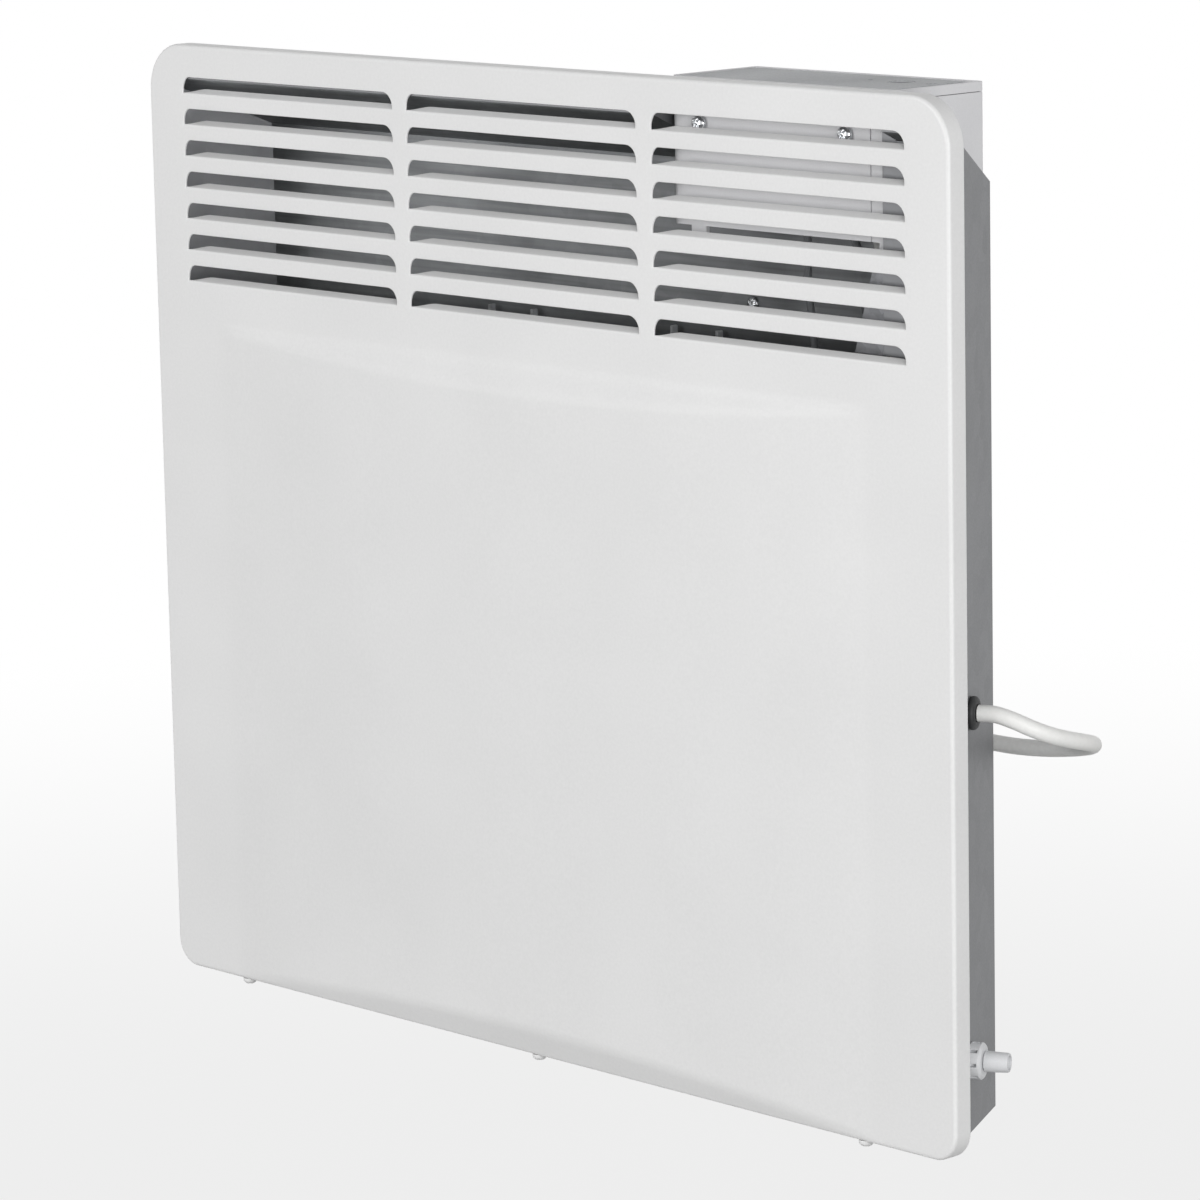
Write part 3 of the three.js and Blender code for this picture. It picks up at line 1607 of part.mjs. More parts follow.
// The plug hangs pins down under the coil's end
const plugPlace = coilPlace - coilOuter;
const plugTop = coilCentre - coilTail - seatGap - guardLength;
function plugBody() {
  const halfWidth = plugWidth / 2;
  const halfThickness = plugThickness / 2;
  const shape = new THREE.Shape();
  const corners = [
    [halfWidth - plugCorner, halfThickness - plugCorner],
    [plugCorner - halfWidth, halfThickness - plugCorner],
    [plugCorner - halfWidth, plugCorner - halfThickness],
    [halfWidth - plugCorner, plugCorner - halfThickness],
  ];
  corners.forEach(([x, y], i) => {
    const start = i * quarterTurn;
    shape.absarc(plugPlace + x, coilFrontLayer + y, plugCorner, start, start + quarterTurn);
  });
  const body = prism("z", shape, plugTop - plugLength, plugTop);
  const guard = turned(
    "z",
    [
      [0, -sheet],
      [guardWide, -sheet],
      [guardWide, 0],
      [guardNarrow, guardLength],
      [0, guardLength],
    ],
    [plugPlace, coilFrontLayer, plugTop],
  );
  return join(body, guard);
}
addPiece("plug_body", plugBody(), whitePlastic);

for (const [place, side] of Object.entries(bracketPlaces)) {
  const pinTop = plugTop - plugLength - seatGap;
  const pin = turned(
    "z",
    [
      [0, pinTop - pinLength],
      [pinRadius / 2, pinTop - pinLength],
      [pinRadius, pinTop - pinLength + pinRadius],
      [pinRadius, pinTop],
      [0, pinTop],
    ],
    [plugPlace + (side * pinSpacing) / 2, coilFrontLayer, 0],
    roundSides / 2,
  );
  addPiece(`plug_pin_${place}`, pin, chromedSteel);
}

// Wall bracket: two rails on the wall, and two folded arms with hooks welded across them
const armWeb = wallDistance - bracketSheet - seatGap;

function bracketArm(centre) {
  const web = block(
    centre - armWidth / 2,
    centre + armWidth / 2,
    armWeb - bracketSheet,
    armWeb,
    armBase,
    armTop,
  );
  const hook = (saddle) => [
    [armFront, saddle - hookNeck],
    [hookTipFront, saddle - hookNeck],
    [hookTipFront, saddle + hookTipHeight],
    [hookTipFront + hookTipDepth, saddle + hookTipHeight],
    [hookTipFront + hookTipDepth, saddle],
    [armFront, saddle],
  ];
  const cheek = [
    [armWeb, armBase],
    [armFront, armBase],
    ...hook(lowerSaddle),
    ...hook(upperSaddle),
    [armFront, armTop],
    [armWeb, armTop],
  ];
  const starts = [centre - armWidth / 2, centre + armWidth / 2 - bracketSheet];
  return join(web, ...starts.map((x) => prism("x", cheek, x, x + bracketSheet)));
}
addPiece("bracket_arm_left", bracketArm(-armPlace), bracketSteel);
addPiece("bracket_arm_right", bracketArm(armPlace), bracketSteel);

function bracketRail(height) {
  const bar = block(
    -railHalfLength,
    railHalfLength,
    wallDistance - bracketSheet,
    wallDistance,
    height - railHeight / 2,
    height + railHeight / 2,
  );
  const holes = [-fixingPlace, fixingPlace].map((x) =>
    rod("y", fixingHole, wallDistance - bracketSheet - cutOverrun, wallDistance + cutOverrun, [
      x,
      0,
      height,
    ]),
  );
  return cut(bar, ...holes);
}
addPiece("bracket_rail_upper", bracketRail(upperRail), bracketSteel);

const catchRear = wallDistance - bracketSheet - seatGap;
const catchFront = catchRear - bracketSheet;

// Guides on the lower rail, folded round both edges of the catch
function catchGuides() {
  const low = lowerRail - railHeight / 2;
  const high = lowerRail + railHeight / 2;
  const lipFront = catchFront - seatGap - guideThickness;
  return [-1, 1].flatMap((side) => {
    const along = (from, to) => [Math.min(side * from, side * to), Math.max(side * from, side * to)];
    const inner = catchHalfWidth + runningFit;
    const outer = inner + guideThickness;
    const root = wallDistance - bracketSheet / 2;
    const wall = block(...along(inner, outer), lipFront, root, low, high);
    const lip = block(...along(inner - guideLip, outer), lipFront, lipFront + guideThickness, low, high);
    return [wall, lip];
  });
}
addPiece(
  "bracket_rail_lower",
  join(bracketRail(lowerRail), ...catchGuides()),
  bracketSteel,
);

// The catch: a slide with a tongue whose tip stands up behind the casing's rear wall
function bottomCatch() {
  const plate = block(
    -catchHalfWidth,
    catchHalfWidth,
    catchFront,
    catchRear,
    catchBase,
    catchTop,
  );
  const tipFront = casingFloor - guideInset - tongueTipDepth;
  const neck = block(
    -tongueHalfWidth,
    tongueHalfWidth,
    tipFront,
    catchRear,
    tongueHeight,
    tongueHeight + tongueThickness,
  );
  const point = block(
    -tongueHalfWidth,
    tongueHalfWidth,
    tipFront,
    tipFront + tongueTipDepth,
    tongueHeight,
    tongueHeight + tongueThickness + tongueTip,
  );
  return join(plate, neck, point);
}
addPiece("bottom_catch", bottomCatch(), greyPlastic);

model.position.set(0, -wallDistance, -upperRail);
const radiator = new THREE.Group();
radiator.add(model);

export default radiator;
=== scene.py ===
import math

import bmesh
import bpy
from mathutils import Matrix, Vector, geometry


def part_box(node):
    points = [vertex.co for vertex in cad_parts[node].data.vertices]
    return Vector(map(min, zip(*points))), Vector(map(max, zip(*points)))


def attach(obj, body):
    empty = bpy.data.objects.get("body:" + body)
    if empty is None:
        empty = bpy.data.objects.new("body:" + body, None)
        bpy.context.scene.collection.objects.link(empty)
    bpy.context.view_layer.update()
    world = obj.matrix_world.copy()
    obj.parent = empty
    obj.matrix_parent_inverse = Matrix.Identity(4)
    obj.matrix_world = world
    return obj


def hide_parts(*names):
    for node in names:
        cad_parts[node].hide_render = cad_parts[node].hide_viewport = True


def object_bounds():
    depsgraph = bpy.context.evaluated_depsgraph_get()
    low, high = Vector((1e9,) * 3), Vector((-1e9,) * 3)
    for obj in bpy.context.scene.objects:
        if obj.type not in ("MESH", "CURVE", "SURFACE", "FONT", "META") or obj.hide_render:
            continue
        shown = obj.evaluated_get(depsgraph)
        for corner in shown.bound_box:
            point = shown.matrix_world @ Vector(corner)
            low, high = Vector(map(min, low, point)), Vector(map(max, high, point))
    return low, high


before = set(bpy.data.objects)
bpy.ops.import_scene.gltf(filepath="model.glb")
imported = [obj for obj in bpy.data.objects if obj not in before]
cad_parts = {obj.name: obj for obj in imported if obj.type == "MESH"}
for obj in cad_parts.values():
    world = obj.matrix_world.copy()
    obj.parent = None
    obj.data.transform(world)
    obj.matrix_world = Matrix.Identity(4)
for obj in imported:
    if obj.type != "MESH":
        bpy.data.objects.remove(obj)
cad_box = [list(corner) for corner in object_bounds()]


# ---
# Camera. The photograph was taken from the panel's front right, a little above it, with a long
# lens. The angles come from the panel's own edges in the photograph.

WALL = 90.0
UPPER_RAIL = 312.5


def at(x, y, z):
    """A point in panel millimetres as metres in the row frame."""
    return Vector((x, y - WALL, z - UPPER_RAIL)) / 1000


def linked(name, data):
    """A new object in the scene, unmoved, with a mesh, curve, camera or lamp."""
    thing = bpy.data.objects.new(name, data)
    bpy.context.scene.collection.objects.link(thing)
    return thing


CAMERA_PLACE = at(1723.135, -1588.731, 644.968)
CAMERA_AZIMUTH = math.radians(46.535)
CAMERA_ELEVATION = math.radians(10.484)
CAMERA_ROLL = math.radians(-1.129)
SENSOR_WIDTH = 36.0
FOCAL_SHARE = 5301.24 / 1200

ahead = Vector((
    -math.sin(CAMERA_AZIMUTH) * math.cos(CAMERA_ELEVATION),
    math.cos(CAMERA_AZIMUTH) * math.cos(CAMERA_ELEVATION),
    -math.sin(CAMERA_ELEVATION),
))
level = Vector((math.cos(CAMERA_AZIMUTH), math.sin(CAMERA_AZIMUTH), 0))
upright = level.cross(ahead)
rightwards = math.cos(CAMERA_ROLL) * level + math.sin(CAMERA_ROLL) * upright
upwards = -math.sin(CAMERA_ROLL) * level + math.cos(CAMERA_ROLL) * upright
turn = Matrix((rightwards, upwards, -ahead)).transposed()

camera_data = bpy.data.cameras.new("camera")
camera_data.sensor_fit = "HORIZONTAL"
camera_data.sensor_width = SENSOR_WIDTH
camera_data.lens = SENSOR_WIDTH * FOCAL_SHARE
camera = linked("camera", camera_data)
camera.matrix_world = Matrix.Translation(CAMERA_PLACE) @ turn.to_4x4()
bpy.context.scene.camera = camera


# ---
# Mains lead: round PVC-sheathed flex, 7.2 mm thick. It leaves the grommet, bends round behind
# the casing, and the rest is wound in a tied coil that hangs on the casing's rear tongue.

CORD_RADIUS = 3.6
CORD_ROUTE = [
    (252.82, 22.10, 191.0), (256.42, 24.00, 191.0), (259.02, 25.40, 190.8),
    (265.92, 29.30, 188.5), (271.72, 34.30, 185.1), (275.82, 41.10, 181.8),
    (277.82, 49.40, 179.0), (277.72, 58.30, 176.5), (275.22, 66.80, 174.1),
    (270.72, 74.40, 171.7), (264.52, 80.20, 169.2), (257.22, 83.60, 167.0),
    (249.22, 84.80, 165.3), (235.22, 84.50, 163.3), (219.22, 83.80, 162.1),
    (203.22, 83.10, 162.0), (188.22, 82.80, 162.0), (173.02, 82.80, 162.0),
    (157.52, 82.80, 162.0),
]
COIL_CENTRE_X = 150.0
COIL_CENTRE_Z = 110.5
COIL_OUTER = 51.5
COIL_PITCH = 7.8
COIL_TURNS = 5.25
COIL_REAR = 82.8
COIL_POINTS_PER_TURN = 16
COIL_TAIL = 30.0


def coil_point(turn):
    """The coil spirals in on the rear layer, crosses over, and spirals out on the front one."""
    middle = COIL_TURNS / 2
    radius = COIL_OUTER - COIL_PITCH * (middle - abs(turn - middle))
    crossing = min(max(2 * (turn - middle) + 0.5, 0.0), 1.0)
    eased = (1 - math.cos(crossing * math.pi)) / 2
    angle = math.pi / 2 + turn * 2 * math.pi
    return (
        COIL_CENTRE_X + radius * math.cos(angle),
        COIL_REAR - COIL_PITCH * eased,
        COIL_CENTRE_Z + radius * math.sin(angle),
    )


def srgb(colour):
    """A hex colour such as "e8e6e1" as the linear RGBA that a shader socket takes."""
    channels = [int(colour[i:i + 2], 16) / 255 for i in (0, 2, 4)]
    linear = [c / 12.92 if c <= 0.04045 else ((c + 0.055) / 1.055) ** 2.4 for c in channels]
    return (*linear, 1.0)


def add_node(tree, kind, settings=None, inputs=None):
    """Adds a node, sets its properties, and fills or links its inputs by name or number."""
    node = tree.nodes.new(kind)
    for name, value in (settings or {}).items():
        setattr(node, name, value)
    for name, value in (inputs or {}).items():
        if isinstance(value, bpy.types.NodeSocket):
            tree.links.new(value, node.inputs[name])
        else:
            node.inputs[name].default_value = value
    return node


def grained(name, shades, grain, roughness, relief, sockets=None):
    """A material whose colour, roughness and height follow one fine grain on Object
    coordinates: shades are two hex colours, grain and relief are in millimetres."""
    material = bpy.data.materials.new(name)
    material.use_nodes = True
    tree = material.node_tree
    shader = tree.nodes["Principled BSDF"]
    for socket, value in (sockets or {}).items():
        shader.inputs[socket].default_value = value
    place = add_node(tree, "ShaderNodeTexCoord").outputs["Object"]
    noise = add_node(tree, "ShaderNodeTexNoise", inputs={
        "Vector": place, "Scale": 1000 / grain, "Detail": 3.0, "Roughness": 0.55,
    })
    cloud = add_node(tree, "ShaderNodeTexNoise", inputs={
        "Vector": place, "Scale": 1000 / (grain * 60), "Detail": 2.0,
    })
    blend = add_node(tree, "ShaderNodeMath", {"operation": "ADD"}, {
        0: noise.outputs["Fac"], 1: cloud.outputs["Fac"],
    })
    share = add_node(tree, "ShaderNodeMapRange", inputs={
        "Value": blend.outputs[0], "From Min": 0.7, "From Max": 1.3,
    })
    colour = add_node(tree, "ShaderNodeMix", {"data_type": "RGBA"}, {
        0: share.outputs["Result"], 6: srgb(shades[0]), 7: srgb(shades[1]),
    })
    rough = add_node(tree, "ShaderNodeMapRange", inputs={
        "Value": noise.outputs["Fac"], "From Min": 0.3, "From Max": 0.7,
        "To Min": roughness[0], "To Max": roughness[1],
    })
    bump = add_node(tree, "ShaderNodeBump", inputs={
        "Height": noise.outputs["Fac"], "Distance": relief / 1000, "Strength": 1.0,
    })
    tree.links.new(colour.outputs[2], shader.inputs["Base Color"])
    tree.links.new(rough.outputs["Result"], shader.inputs["Roughness"])
    tree.links.new(bump.outputs["Normal"], shader.inputs["Normal"])
    return material


def fit(piece, body, slot, *nodes):
    """Rides a piece on a body and puts it in the place of CAD nodes, which it hides. The slot is
    not used.
    """
    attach(piece, body)
    if nodes:
        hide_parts(*nodes)


# Extruded PVC sheath: satin, with the faint waviness of the cores under it
pvc_sheath = grained("extruded_pvc_sheath", ("e4e4e2", "eeeeec"), 2.4, (0.42, 0.55), 0.03)

coil_steps = round(COIL_TURNS * COIL_POINTS_PER_TURN)
coil_points = [coil_point(i / coil_steps * COIL_TURNS) for i in range(1, coil_steps + 1)]
plug_x = COIL_CENTRE_X - COIL_OUTER
cord_end = (plug_x, COIL_REAR - COIL_PITCH, COIL_CENTRE_Z - COIL_TAIL)
cord_points = [at(*p) for p in [*CORD_ROUTE, coil_point(0), *coil_points, cord_end]]

cord_curve = bpy.data.curves.new("mains_lead", "CURVE")
cord_curve.dimensions = "3D"
cord_curve.resolution_u = 8
cord_curve.bevel_depth = CORD_RADIUS / 1000
cord_curve.bevel_resolution = 7
cord_curve.use_fill_caps = True
spline = cord_curve.splines.new("BEZIER")
spline.bezier_points.add(len(cord_points) - 1)
for knot, place in zip(spline.bezier_points, cord_points):
    knot.co = place
    knot.handle_left_type = knot.handle_right_type = "AUTO"
cord_curve.materials.append(pvc_sheath)
mains_lead = linked("mains_lead", cord_curve)
fit(mains_lead, "heater", "cord_sheath", "power_cord", "cord_coil")


# ---
# Plug: one moulding of soft PVC round the pins, with grip hollows on its faces and a ribbed
# sleeve that keeps the lead from kinking. Its two round pins are nickel-plated brass.

CORD_GAP = 0.3
SLEEVE_HEIGHT = 20.0
SLEEVE_RIBS = 5
PLUG_HEIGHT = 38.0
PLUG_TOP = COIL_CENTRE_Z - COIL_TAIL - CORD_GAP - SLEEVE_HEIGHT
PLUG_RINGS = [
    # half width, half thickness, height above the plug's foot
    (15.6, 10.6, 0.0), (17.4, 12.4, 0.7), (18.0, 13.0, 2.6), (18.0, 13.0, 7.0),
    (17.4, 12.4, 12.0), (16.4, 10.8, 18.0), (16.6, 10.4, 24.0), (16.2, 11.4, 29.0),
    (14.4, 11.0, 33.0), (11.6, 9.6, 36.4), (8.4, 7.8, 38.0), (6.5, 6.5, 38.8),
]
NECK_FOOT = 36.0
BODY_SQUARENESS = 0.55
NECK_SQUARENESS = 0.9
PIN_PROFILE = [
    # radius, height below the plug's foot
    (0.0, 0.3), (2.4, 0.3), (2.4, 16.2), (2.25, 17.4), (1.8, 18.5), (1.0, 19.2), (0.0, 19.3),
]
PIN_SPACING = 19.0
ROUND = 32


def new_piece(name, shape, *materials):
    """A linked object with a mesh from a bmesh, smooth, its place in its vertices."""
    bmesh.ops.recalc_face_normals(shape, faces=shape.faces)
    mesh = bpy.data.meshes.new(name)
    shape.to_mesh(mesh)
    shape.free()
    mesh.shade_smooth()
    for material in materials:
        mesh.materials.append(material)
    return linked(name, mesh)


def skin(shape, rings, closed_ends=True):
    """Faces between rings of vertices, one after another, and over the first and last. A ring
    of one vertex closes its end in a point."""
    for near, far in zip(rings, rings[1:]):
        count = max(len(near), len(far))
        for i in range(count):
            k = (i + 1) % count
            corners = (near[i % len(near)], near[k % len(near)],
                       far[k % len(far)], far[i % len(far)])
            shape.faces.new(list(dict.fromkeys(corners)))
    if closed_ends:
        shape.faces.new(rings[0])
        shape.faces.new(rings[-1])


def turned(shape, profile, centre, axis, sides=ROUND):
    """A profile of (radius, place) pairs in millimetres, turned round an axis through a centre
    in panel millimetres. A radius of nothing closes the end in one point."""
    axis = Vector(axis).normalized()
    side = axis.orthogonal().normalized()
    other = axis.cross(side)
    rings = []
    for radius, place in profile:
        middle = Vector(centre) + axis * place
        if radius == 0:
            rings.append([shape.verts.new(at(*middle))])
            continue
        angles = [2 * math.pi * i / sides for i in range(sides)]
        rings.append([
            shape.verts.new(at(*(middle + radius * (math.cos(a) * side + math.sin(a) * other))))
            for a in angles
        ])
    skin(shape, rings, closed_ends=False)


def sharpen(piece, degrees):
    """Marks edges sharper than an angle, and weights normals by face area, so that flats stay
    flat and bends stay soft."""
    piece.data.set_sharp_from_angle(angle=math.radians(degrees))
    weighted = piece.modifiers.new("weighted_normals", "WEIGHTED_NORMAL")
    weighted.keep_sharp = True


plug_y = COIL_REAR - COIL_PITCH
plug_shape = bmesh.new()
rings = []
for half_width, half_thickness, height in PLUG_RINGS:
    ring = []
    for i in range(2 * ROUND):
        angle = 2 * math.pi * i / (2 * ROUND)
        c, s = math.cos(angle), math.sin(angle)
        square = BODY_SQUARENESS if height < NECK_FOOT else NECK_SQUARENESS
        x = plug_x + half_width * math.copysign(abs(c) ** square, c)
        y = plug_y + half_thickness * math.copysign(abs(s) ** square, s)
        ring.append(plug_shape.verts.new(at(x, y, PLUG_TOP - PLUG_HEIGHT + height)))
    rings.append(ring)
skin(plug_shape, rings)
sleeve = [(0, -1.0), (6.6, -1.0)]
for i in range(SLEEVE_RIBS):
    low = SLEEVE_HEIGHT * i / SLEEVE_RIBS
    step = SLEEVE_HEIGHT / SLEEVE_RIBS
    wide = 6.4 - 1.6 * i / SLEEVE_RIBS
    sleeve += [(wide, low + 0.2 * step), (wide - 0.1, low + 0.62 * step),
               (wide - 0.9, low + 0.7 * step), (wide - 1.0, low + 0.95 * step)]
sleeve += [(4.4, SLEEVE_HEIGHT), (0, SLEEVE_HEIGHT)]
turned(plug_shape, sleeve, (plug_x, plug_y, PLUG_TOP), (0, 0, 1))

# Soft PVC moulding: matt, slightly off white
pvc_moulding = grained("moulded_soft_pvc", ("e0e0dd", "eaeae8"), 1.1, (0.5, 0.62), 0.02)
plug = new_piece("plug", plug_shape, pvc_moulding)
sharpen(plug, 40)
fit(plug, "heater", "white_plastic", "plug_body")

pin_shape = bmesh.new()
for side in (-1, 1):
    place = (plug_x + side * PIN_SPACING / 2, plug_y, PLUG_TOP - PLUG_HEIGHT)
    turned(pin_shape, PIN_PROFILE, place, (0, 0, -1))
# Nickel plating: bright, a little warm, with fine drawing marks
nickel = grained(
    "nickel_plated_brass", ("c9c4ba", "d6d2c9"), 0.8, (0.18, 0.3), 0.004, {"Metallic": 1.0}
)
plug_pins = new_piece("plug_pins", pin_shape, nickel)
sharpen(plug_pins, 40)
fit(plug_pins, "heater", "chromed_steel", "plug_pin_left", "plug_pin_right")


# ---
# Cord tie: a strap of soft black rubber drawn round the bundle of turns at the coil's right. It
# is one band with rounded edges, as wide as the bundle.

TIE_WALL = 1.0
TIE_BEVEL = 0.3
TIE_INSET = 0.25
TIE_BORE_INSET = 0.2
TIE_ROUNDING = 3.2
TIE_STEPS = 6


def rounded_rectangle(low, high, radius, steps):
    """Points round a rectangle from corner low to corner high, with rounded corners."""
    centres = [
        (high[0] - radius, high[1] - radius), (low[0] + radius, high[1] - radius),
        (low[0] + radius, low[1] + radius), (high[0] - radius, low[1] + radius),
    ]
    return [
        (x + radius * math.cos(a), y + radius * math.sin(a))
        for corner, (x, y) in enumerate(centres)
        for a in [math.pi / 2 * (corner + i / steps) for i in range(steps + 1)]
    ]


tie_low, tie_high = [
    1000 * corner + Vector((0, WALL, UPPER_RAIL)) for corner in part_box("cord_tie")
]
tie_shape = bmesh.new()
rings = []
for inset, z in (
    (TIE_INSET, tie_low.z), (0.0, tie_low.z + TIE_BEVEL), (0.0, tie_high.z - TIE_BEVEL),
    (TIE_INSET, tie_high.z), (TIE_WALL - TIE_BORE_INSET, tie_high.z),
    (TIE_WALL, tie_high.z - TIE_BEVEL), (TIE_WALL, tie_low.z + TIE_BEVEL),
    (TIE_WALL - TIE_BORE_INSET, tie_low.z),
):
    outline = rounded_rectangle(
        (tie_low.x + inset, tie_low.y + inset), (tie_high.x - inset, tie_high.y - inset),
        TIE_ROUNDING - inset, TIE_STEPS,
    )
    rings.append([tie_shape.verts.new(at(x, y, z)) for x, y in outline])
skin(tie_shape, [*rings, rings[0]], closed_ends=False)

# Black EPDM rubber: dull, with a faint bloom
black_rubber = grained("moulded_black_rubber", ("141516", "1d1e20"), 0.9, (0.55, 0.72), 0.015)
cord_tie = new_piece("tie_strap", tie_shape, black_rubber)
fit(cord_tie, "heater", "black_rubber", "cord_tie")


# ---
# Front panel: 1 mm sheet steel, stamped with a shallow bow and three columns of louvres, its
# edges folded back all round, then powder-coated white. Three screws hold its lower flange.

PANEL_WIDTH = 517.0
PANEL_HEIGHT = 451.0
TOP_CORNER = 22.0
FOOT_CORNER = 13.0
SHEET = 1.0
FOLD = 1.8
FLANGE = 9.5
CORNER_STEPS = 14
FOLD_ANGLES = [0, 14, 28, 41, 54, 67.4, 90]
BOW_HALF = 212.0
BOW_RISE = 5.0
BOW_TOP = 317.8
BOW_TOP_SLOPE = 5 / 11.5
BOW_FOOT = 1.44
BOW_FOOT_SLOPE = 5 / 12
CREASE = 1.3
BOW_COLUMNS = 106
SLOT_COLUMNS = 3
SLOT_ROWS = 7
SLOT_WIDTH = 149.4
SLOT_HEIGHT = 7.45
SLOT_GAP = 9.4
SLOT_PITCH = 14.9
TOP_SLOT_BASE = 428.2
SLOT_CURVES = (6.4, 4.6)
SLOT_DROP = 6.4
SLOT_ARC_STEPS = 8
RIM = 0.35
BACK_RIM = 0.15
LIP_GAP = 0.4
LIP_RUN = 13.0
LIP_RUN_STEPS = 12
LIP_REACH = 4.5
LIP_ANGLE = math.radians(27)
LIP_BEND = 1.2
LIP_BEND_STEPS = 4


def soft_min(a, b, width):
    """The smaller of two heights, blended over a width where they cross."""
    if width <= 0:
        return min(a, b)
    share = min(max(0.5 + 0.5 * (b - a) / width, 0.0), 1.0)
    return b + (a - b) * share - width * share * (1 - share)


def bow_height(x, z):
    """How far the bowed field stands proud of the flat of the face."""
    radius = (BOW_HALF ** 2 + BOW_RISE ** 2) / (2 * BOW_RISE)
    arc = max(math.sqrt(max(radius ** 2 - x ** 2, 0)) - radius + BOW_RISE, 0.0)
    top = (BOW_TOP - z) * BOW_TOP_SLOPE
    top = -soft_min(-top, 0.0, CREASE)
    slants = min(top, (z - BOW_FOOT) * BOW_FOOT_SLOPE)
    return soft_min(arc, slants, min(CREASE, 2 * max(min(arc, slants), 0.0)))


def weld_patches(shape, flat, depth):
    """Triangulates flat outlines, the first one holding the others as holes, at one depth."""
    loops = [[Vector((x, z, 0)) for x, z in outline] for outline in flat]
    verts = [shape.verts.new(at(x, depth, z)) for outline in flat for x, z in outline]
    for corners in geometry.tessellate_polygon(loops):
        shape.faces.new([verts[i] for i in corners])


# One louvre with the flat round it, its lower left corner at the origin: the opening's edge is
# rounded, and the lip is bent in and up from the lower edge, cut slanting at its left end
def slot_loop(offset):
    """The opening's outline, moved outwards by an offset."""
    wide, tight = SLOT_CURVES
    spring = SLOT_HEIGHT - SLOT_DROP
    points = [(-offset, -offset), (LIP_GAP, -offset), (SLOT_WIDTH - LIP_GAP, -offset),
              (SLOT_WIDTH + offset, -offset)]
    for centre, reach, first in ((SLOT_WIDTH - wide, wide, 0), (tight, tight, 90)):
        for i in range(SLOT_ARC_STEPS + 1):
            angle = math.radians(first + 90 * i / SLOT_ARC_STEPS)
            normal = Vector((math.cos(angle) / reach, math.sin(angle) / SLOT_DROP)).normalized()
            points.append((centre + reach * math.cos(angle) + offset * normal.x,
                           spring + SLOT_DROP * math.sin(angle) + offset * normal.y))
    return points


louvre_shape = bmesh.new()
lip_foot = LIP_BEND * math.sin(math.pi / 2 - LIP_ANGLE)
bend_depth = LIP_BEND * (1 - math.sin(LIP_ANGLE))
lip_root = (bend_depth - SHEET / 3) * math.tan(LIP_ANGLE) - lip_foot
upper, lower = [], []
for i in range(LIP_BEND_STEPS + 1):
    angle = (math.pi / 2 - LIP_ANGLE) * i / LIP_BEND_STEPS
    for side, radius in ((upper, LIP_BEND), (lower, LIP_BEND - SHEET)):
        side.append((LIP_BEND - radius * math.cos(angle), lip_root + radius * math.sin(angle)))
along = Vector((math.cos(LIP_ANGLE), math.sin(LIP_ANGLE)))
across = Vector((math.sin(LIP_ANGLE), -math.cos(LIP_ANGLE)))
tip = Vector((SHEET / 3, 0)) + LIP_REACH * along
for inset, share in ((0.3, 0.0), (0.08, 0.1), (0.0, 0.3), (0.0, 0.7), (0.08, 0.9), (0.3, 1.0)):
    upper.append(tuple(tip - inset * along + share * SHEET * across))
lip_profile = upper + lower[::-1]


def lip_row(y, z):
    """One line of the lip along the slot. At its left end the lip swings in along a soft
    curve from nothing to its full reach."""
    reach = max(Vector((y - SHEET / 3, z)).dot(along), 0.0)
    row = []
    for i in range(LIP_RUN_STEPS + 1):
        share = i / LIP_RUN_STEPS
        drawn = reach * (1 - share * share * (3 - 2 * share)) * 0.96
        x = LIP_GAP + (LIP_RUN - LIP_GAP) * share
        row.append(at(x, y - drawn * along.x, z - drawn * along.y))
    return [*row, at(SLOT_WIDTH - LIP_GAP, y, z)]


lip_rows = [[louvre_shape.verts.new(place) for place in lip_row(y, z)] for y, z in lip_profile]
for near, far in zip(lip_rows, lip_rows[1:]):
    for i in range(LIP_RUN_STEPS + 1):
        louvre_shape.faces.new((near[i], near[i + 1], far[i + 1], far[i]))
rims = []
for offset, depth in ((RIM, 0), (RIM * 0.3, RIM * 0.3), (0, RIM),
                      (0, SHEET - BACK_RIM), (BACK_RIM, SHEET)):
    rims.append([louvre_shape.verts.new(at(x, depth, z)) for x, z in slot_loop(offset)])
for near, far in zip(rims, rims[1:]):
    for i in range(len(near)):
        if i != 1:
            k = (i + 1) % len(near)
            louvre_shape.faces.new((near[i], near[k], far[k], far[i]))
for end in (0, -1):
    louvre_shape.faces.new([row[end] for row in lip_rows] + [rim[1 - end] for rim in rims[::-1]])
tile = [(-SLOT_GAP / 2, -(SLOT_PITCH - SLOT_HEIGHT) / 2),
        (SLOT_WIDTH + SLOT_GAP / 2, -(SLOT_PITCH - SLOT_HEIGHT) / 2),
        (SLOT_WIDTH + SLOT_GAP / 2, (SLOT_PITCH + SLOT_HEIGHT) / 2),
        (-SLOT_GAP / 2, (SLOT_PITCH + SLOT_HEIGHT) / 2)]
for offset, depth in ((RIM, 0.0), (BACK_RIM, SHEET)):
    hole = slot_loop(offset)
    hole[2:2] = [(LIP_GAP, lip_root), (SLOT_WIDTH - LIP_GAP, lip_root)]
    weld_patches(louvre_shape, [tile, hole], depth)
bmesh.ops.remove_doubles(louvre_shape, verts=louvre_shape.verts, dist=1e-6)
bmesh.ops.translate(louvre_shape, verts=louvre_shape.verts, vec=-at(0, 0, 0))

# Powder coat over steel: satin, with a fine orange peel about 1.5 mm across
powder_coat = grained("powder_coated_steel", ("dcdcdc", "e2e2e2"), 1.5, (0.36, 0.46), 0.006)
louvre = new_piece("louvre", louvre_shape, powder_coat)


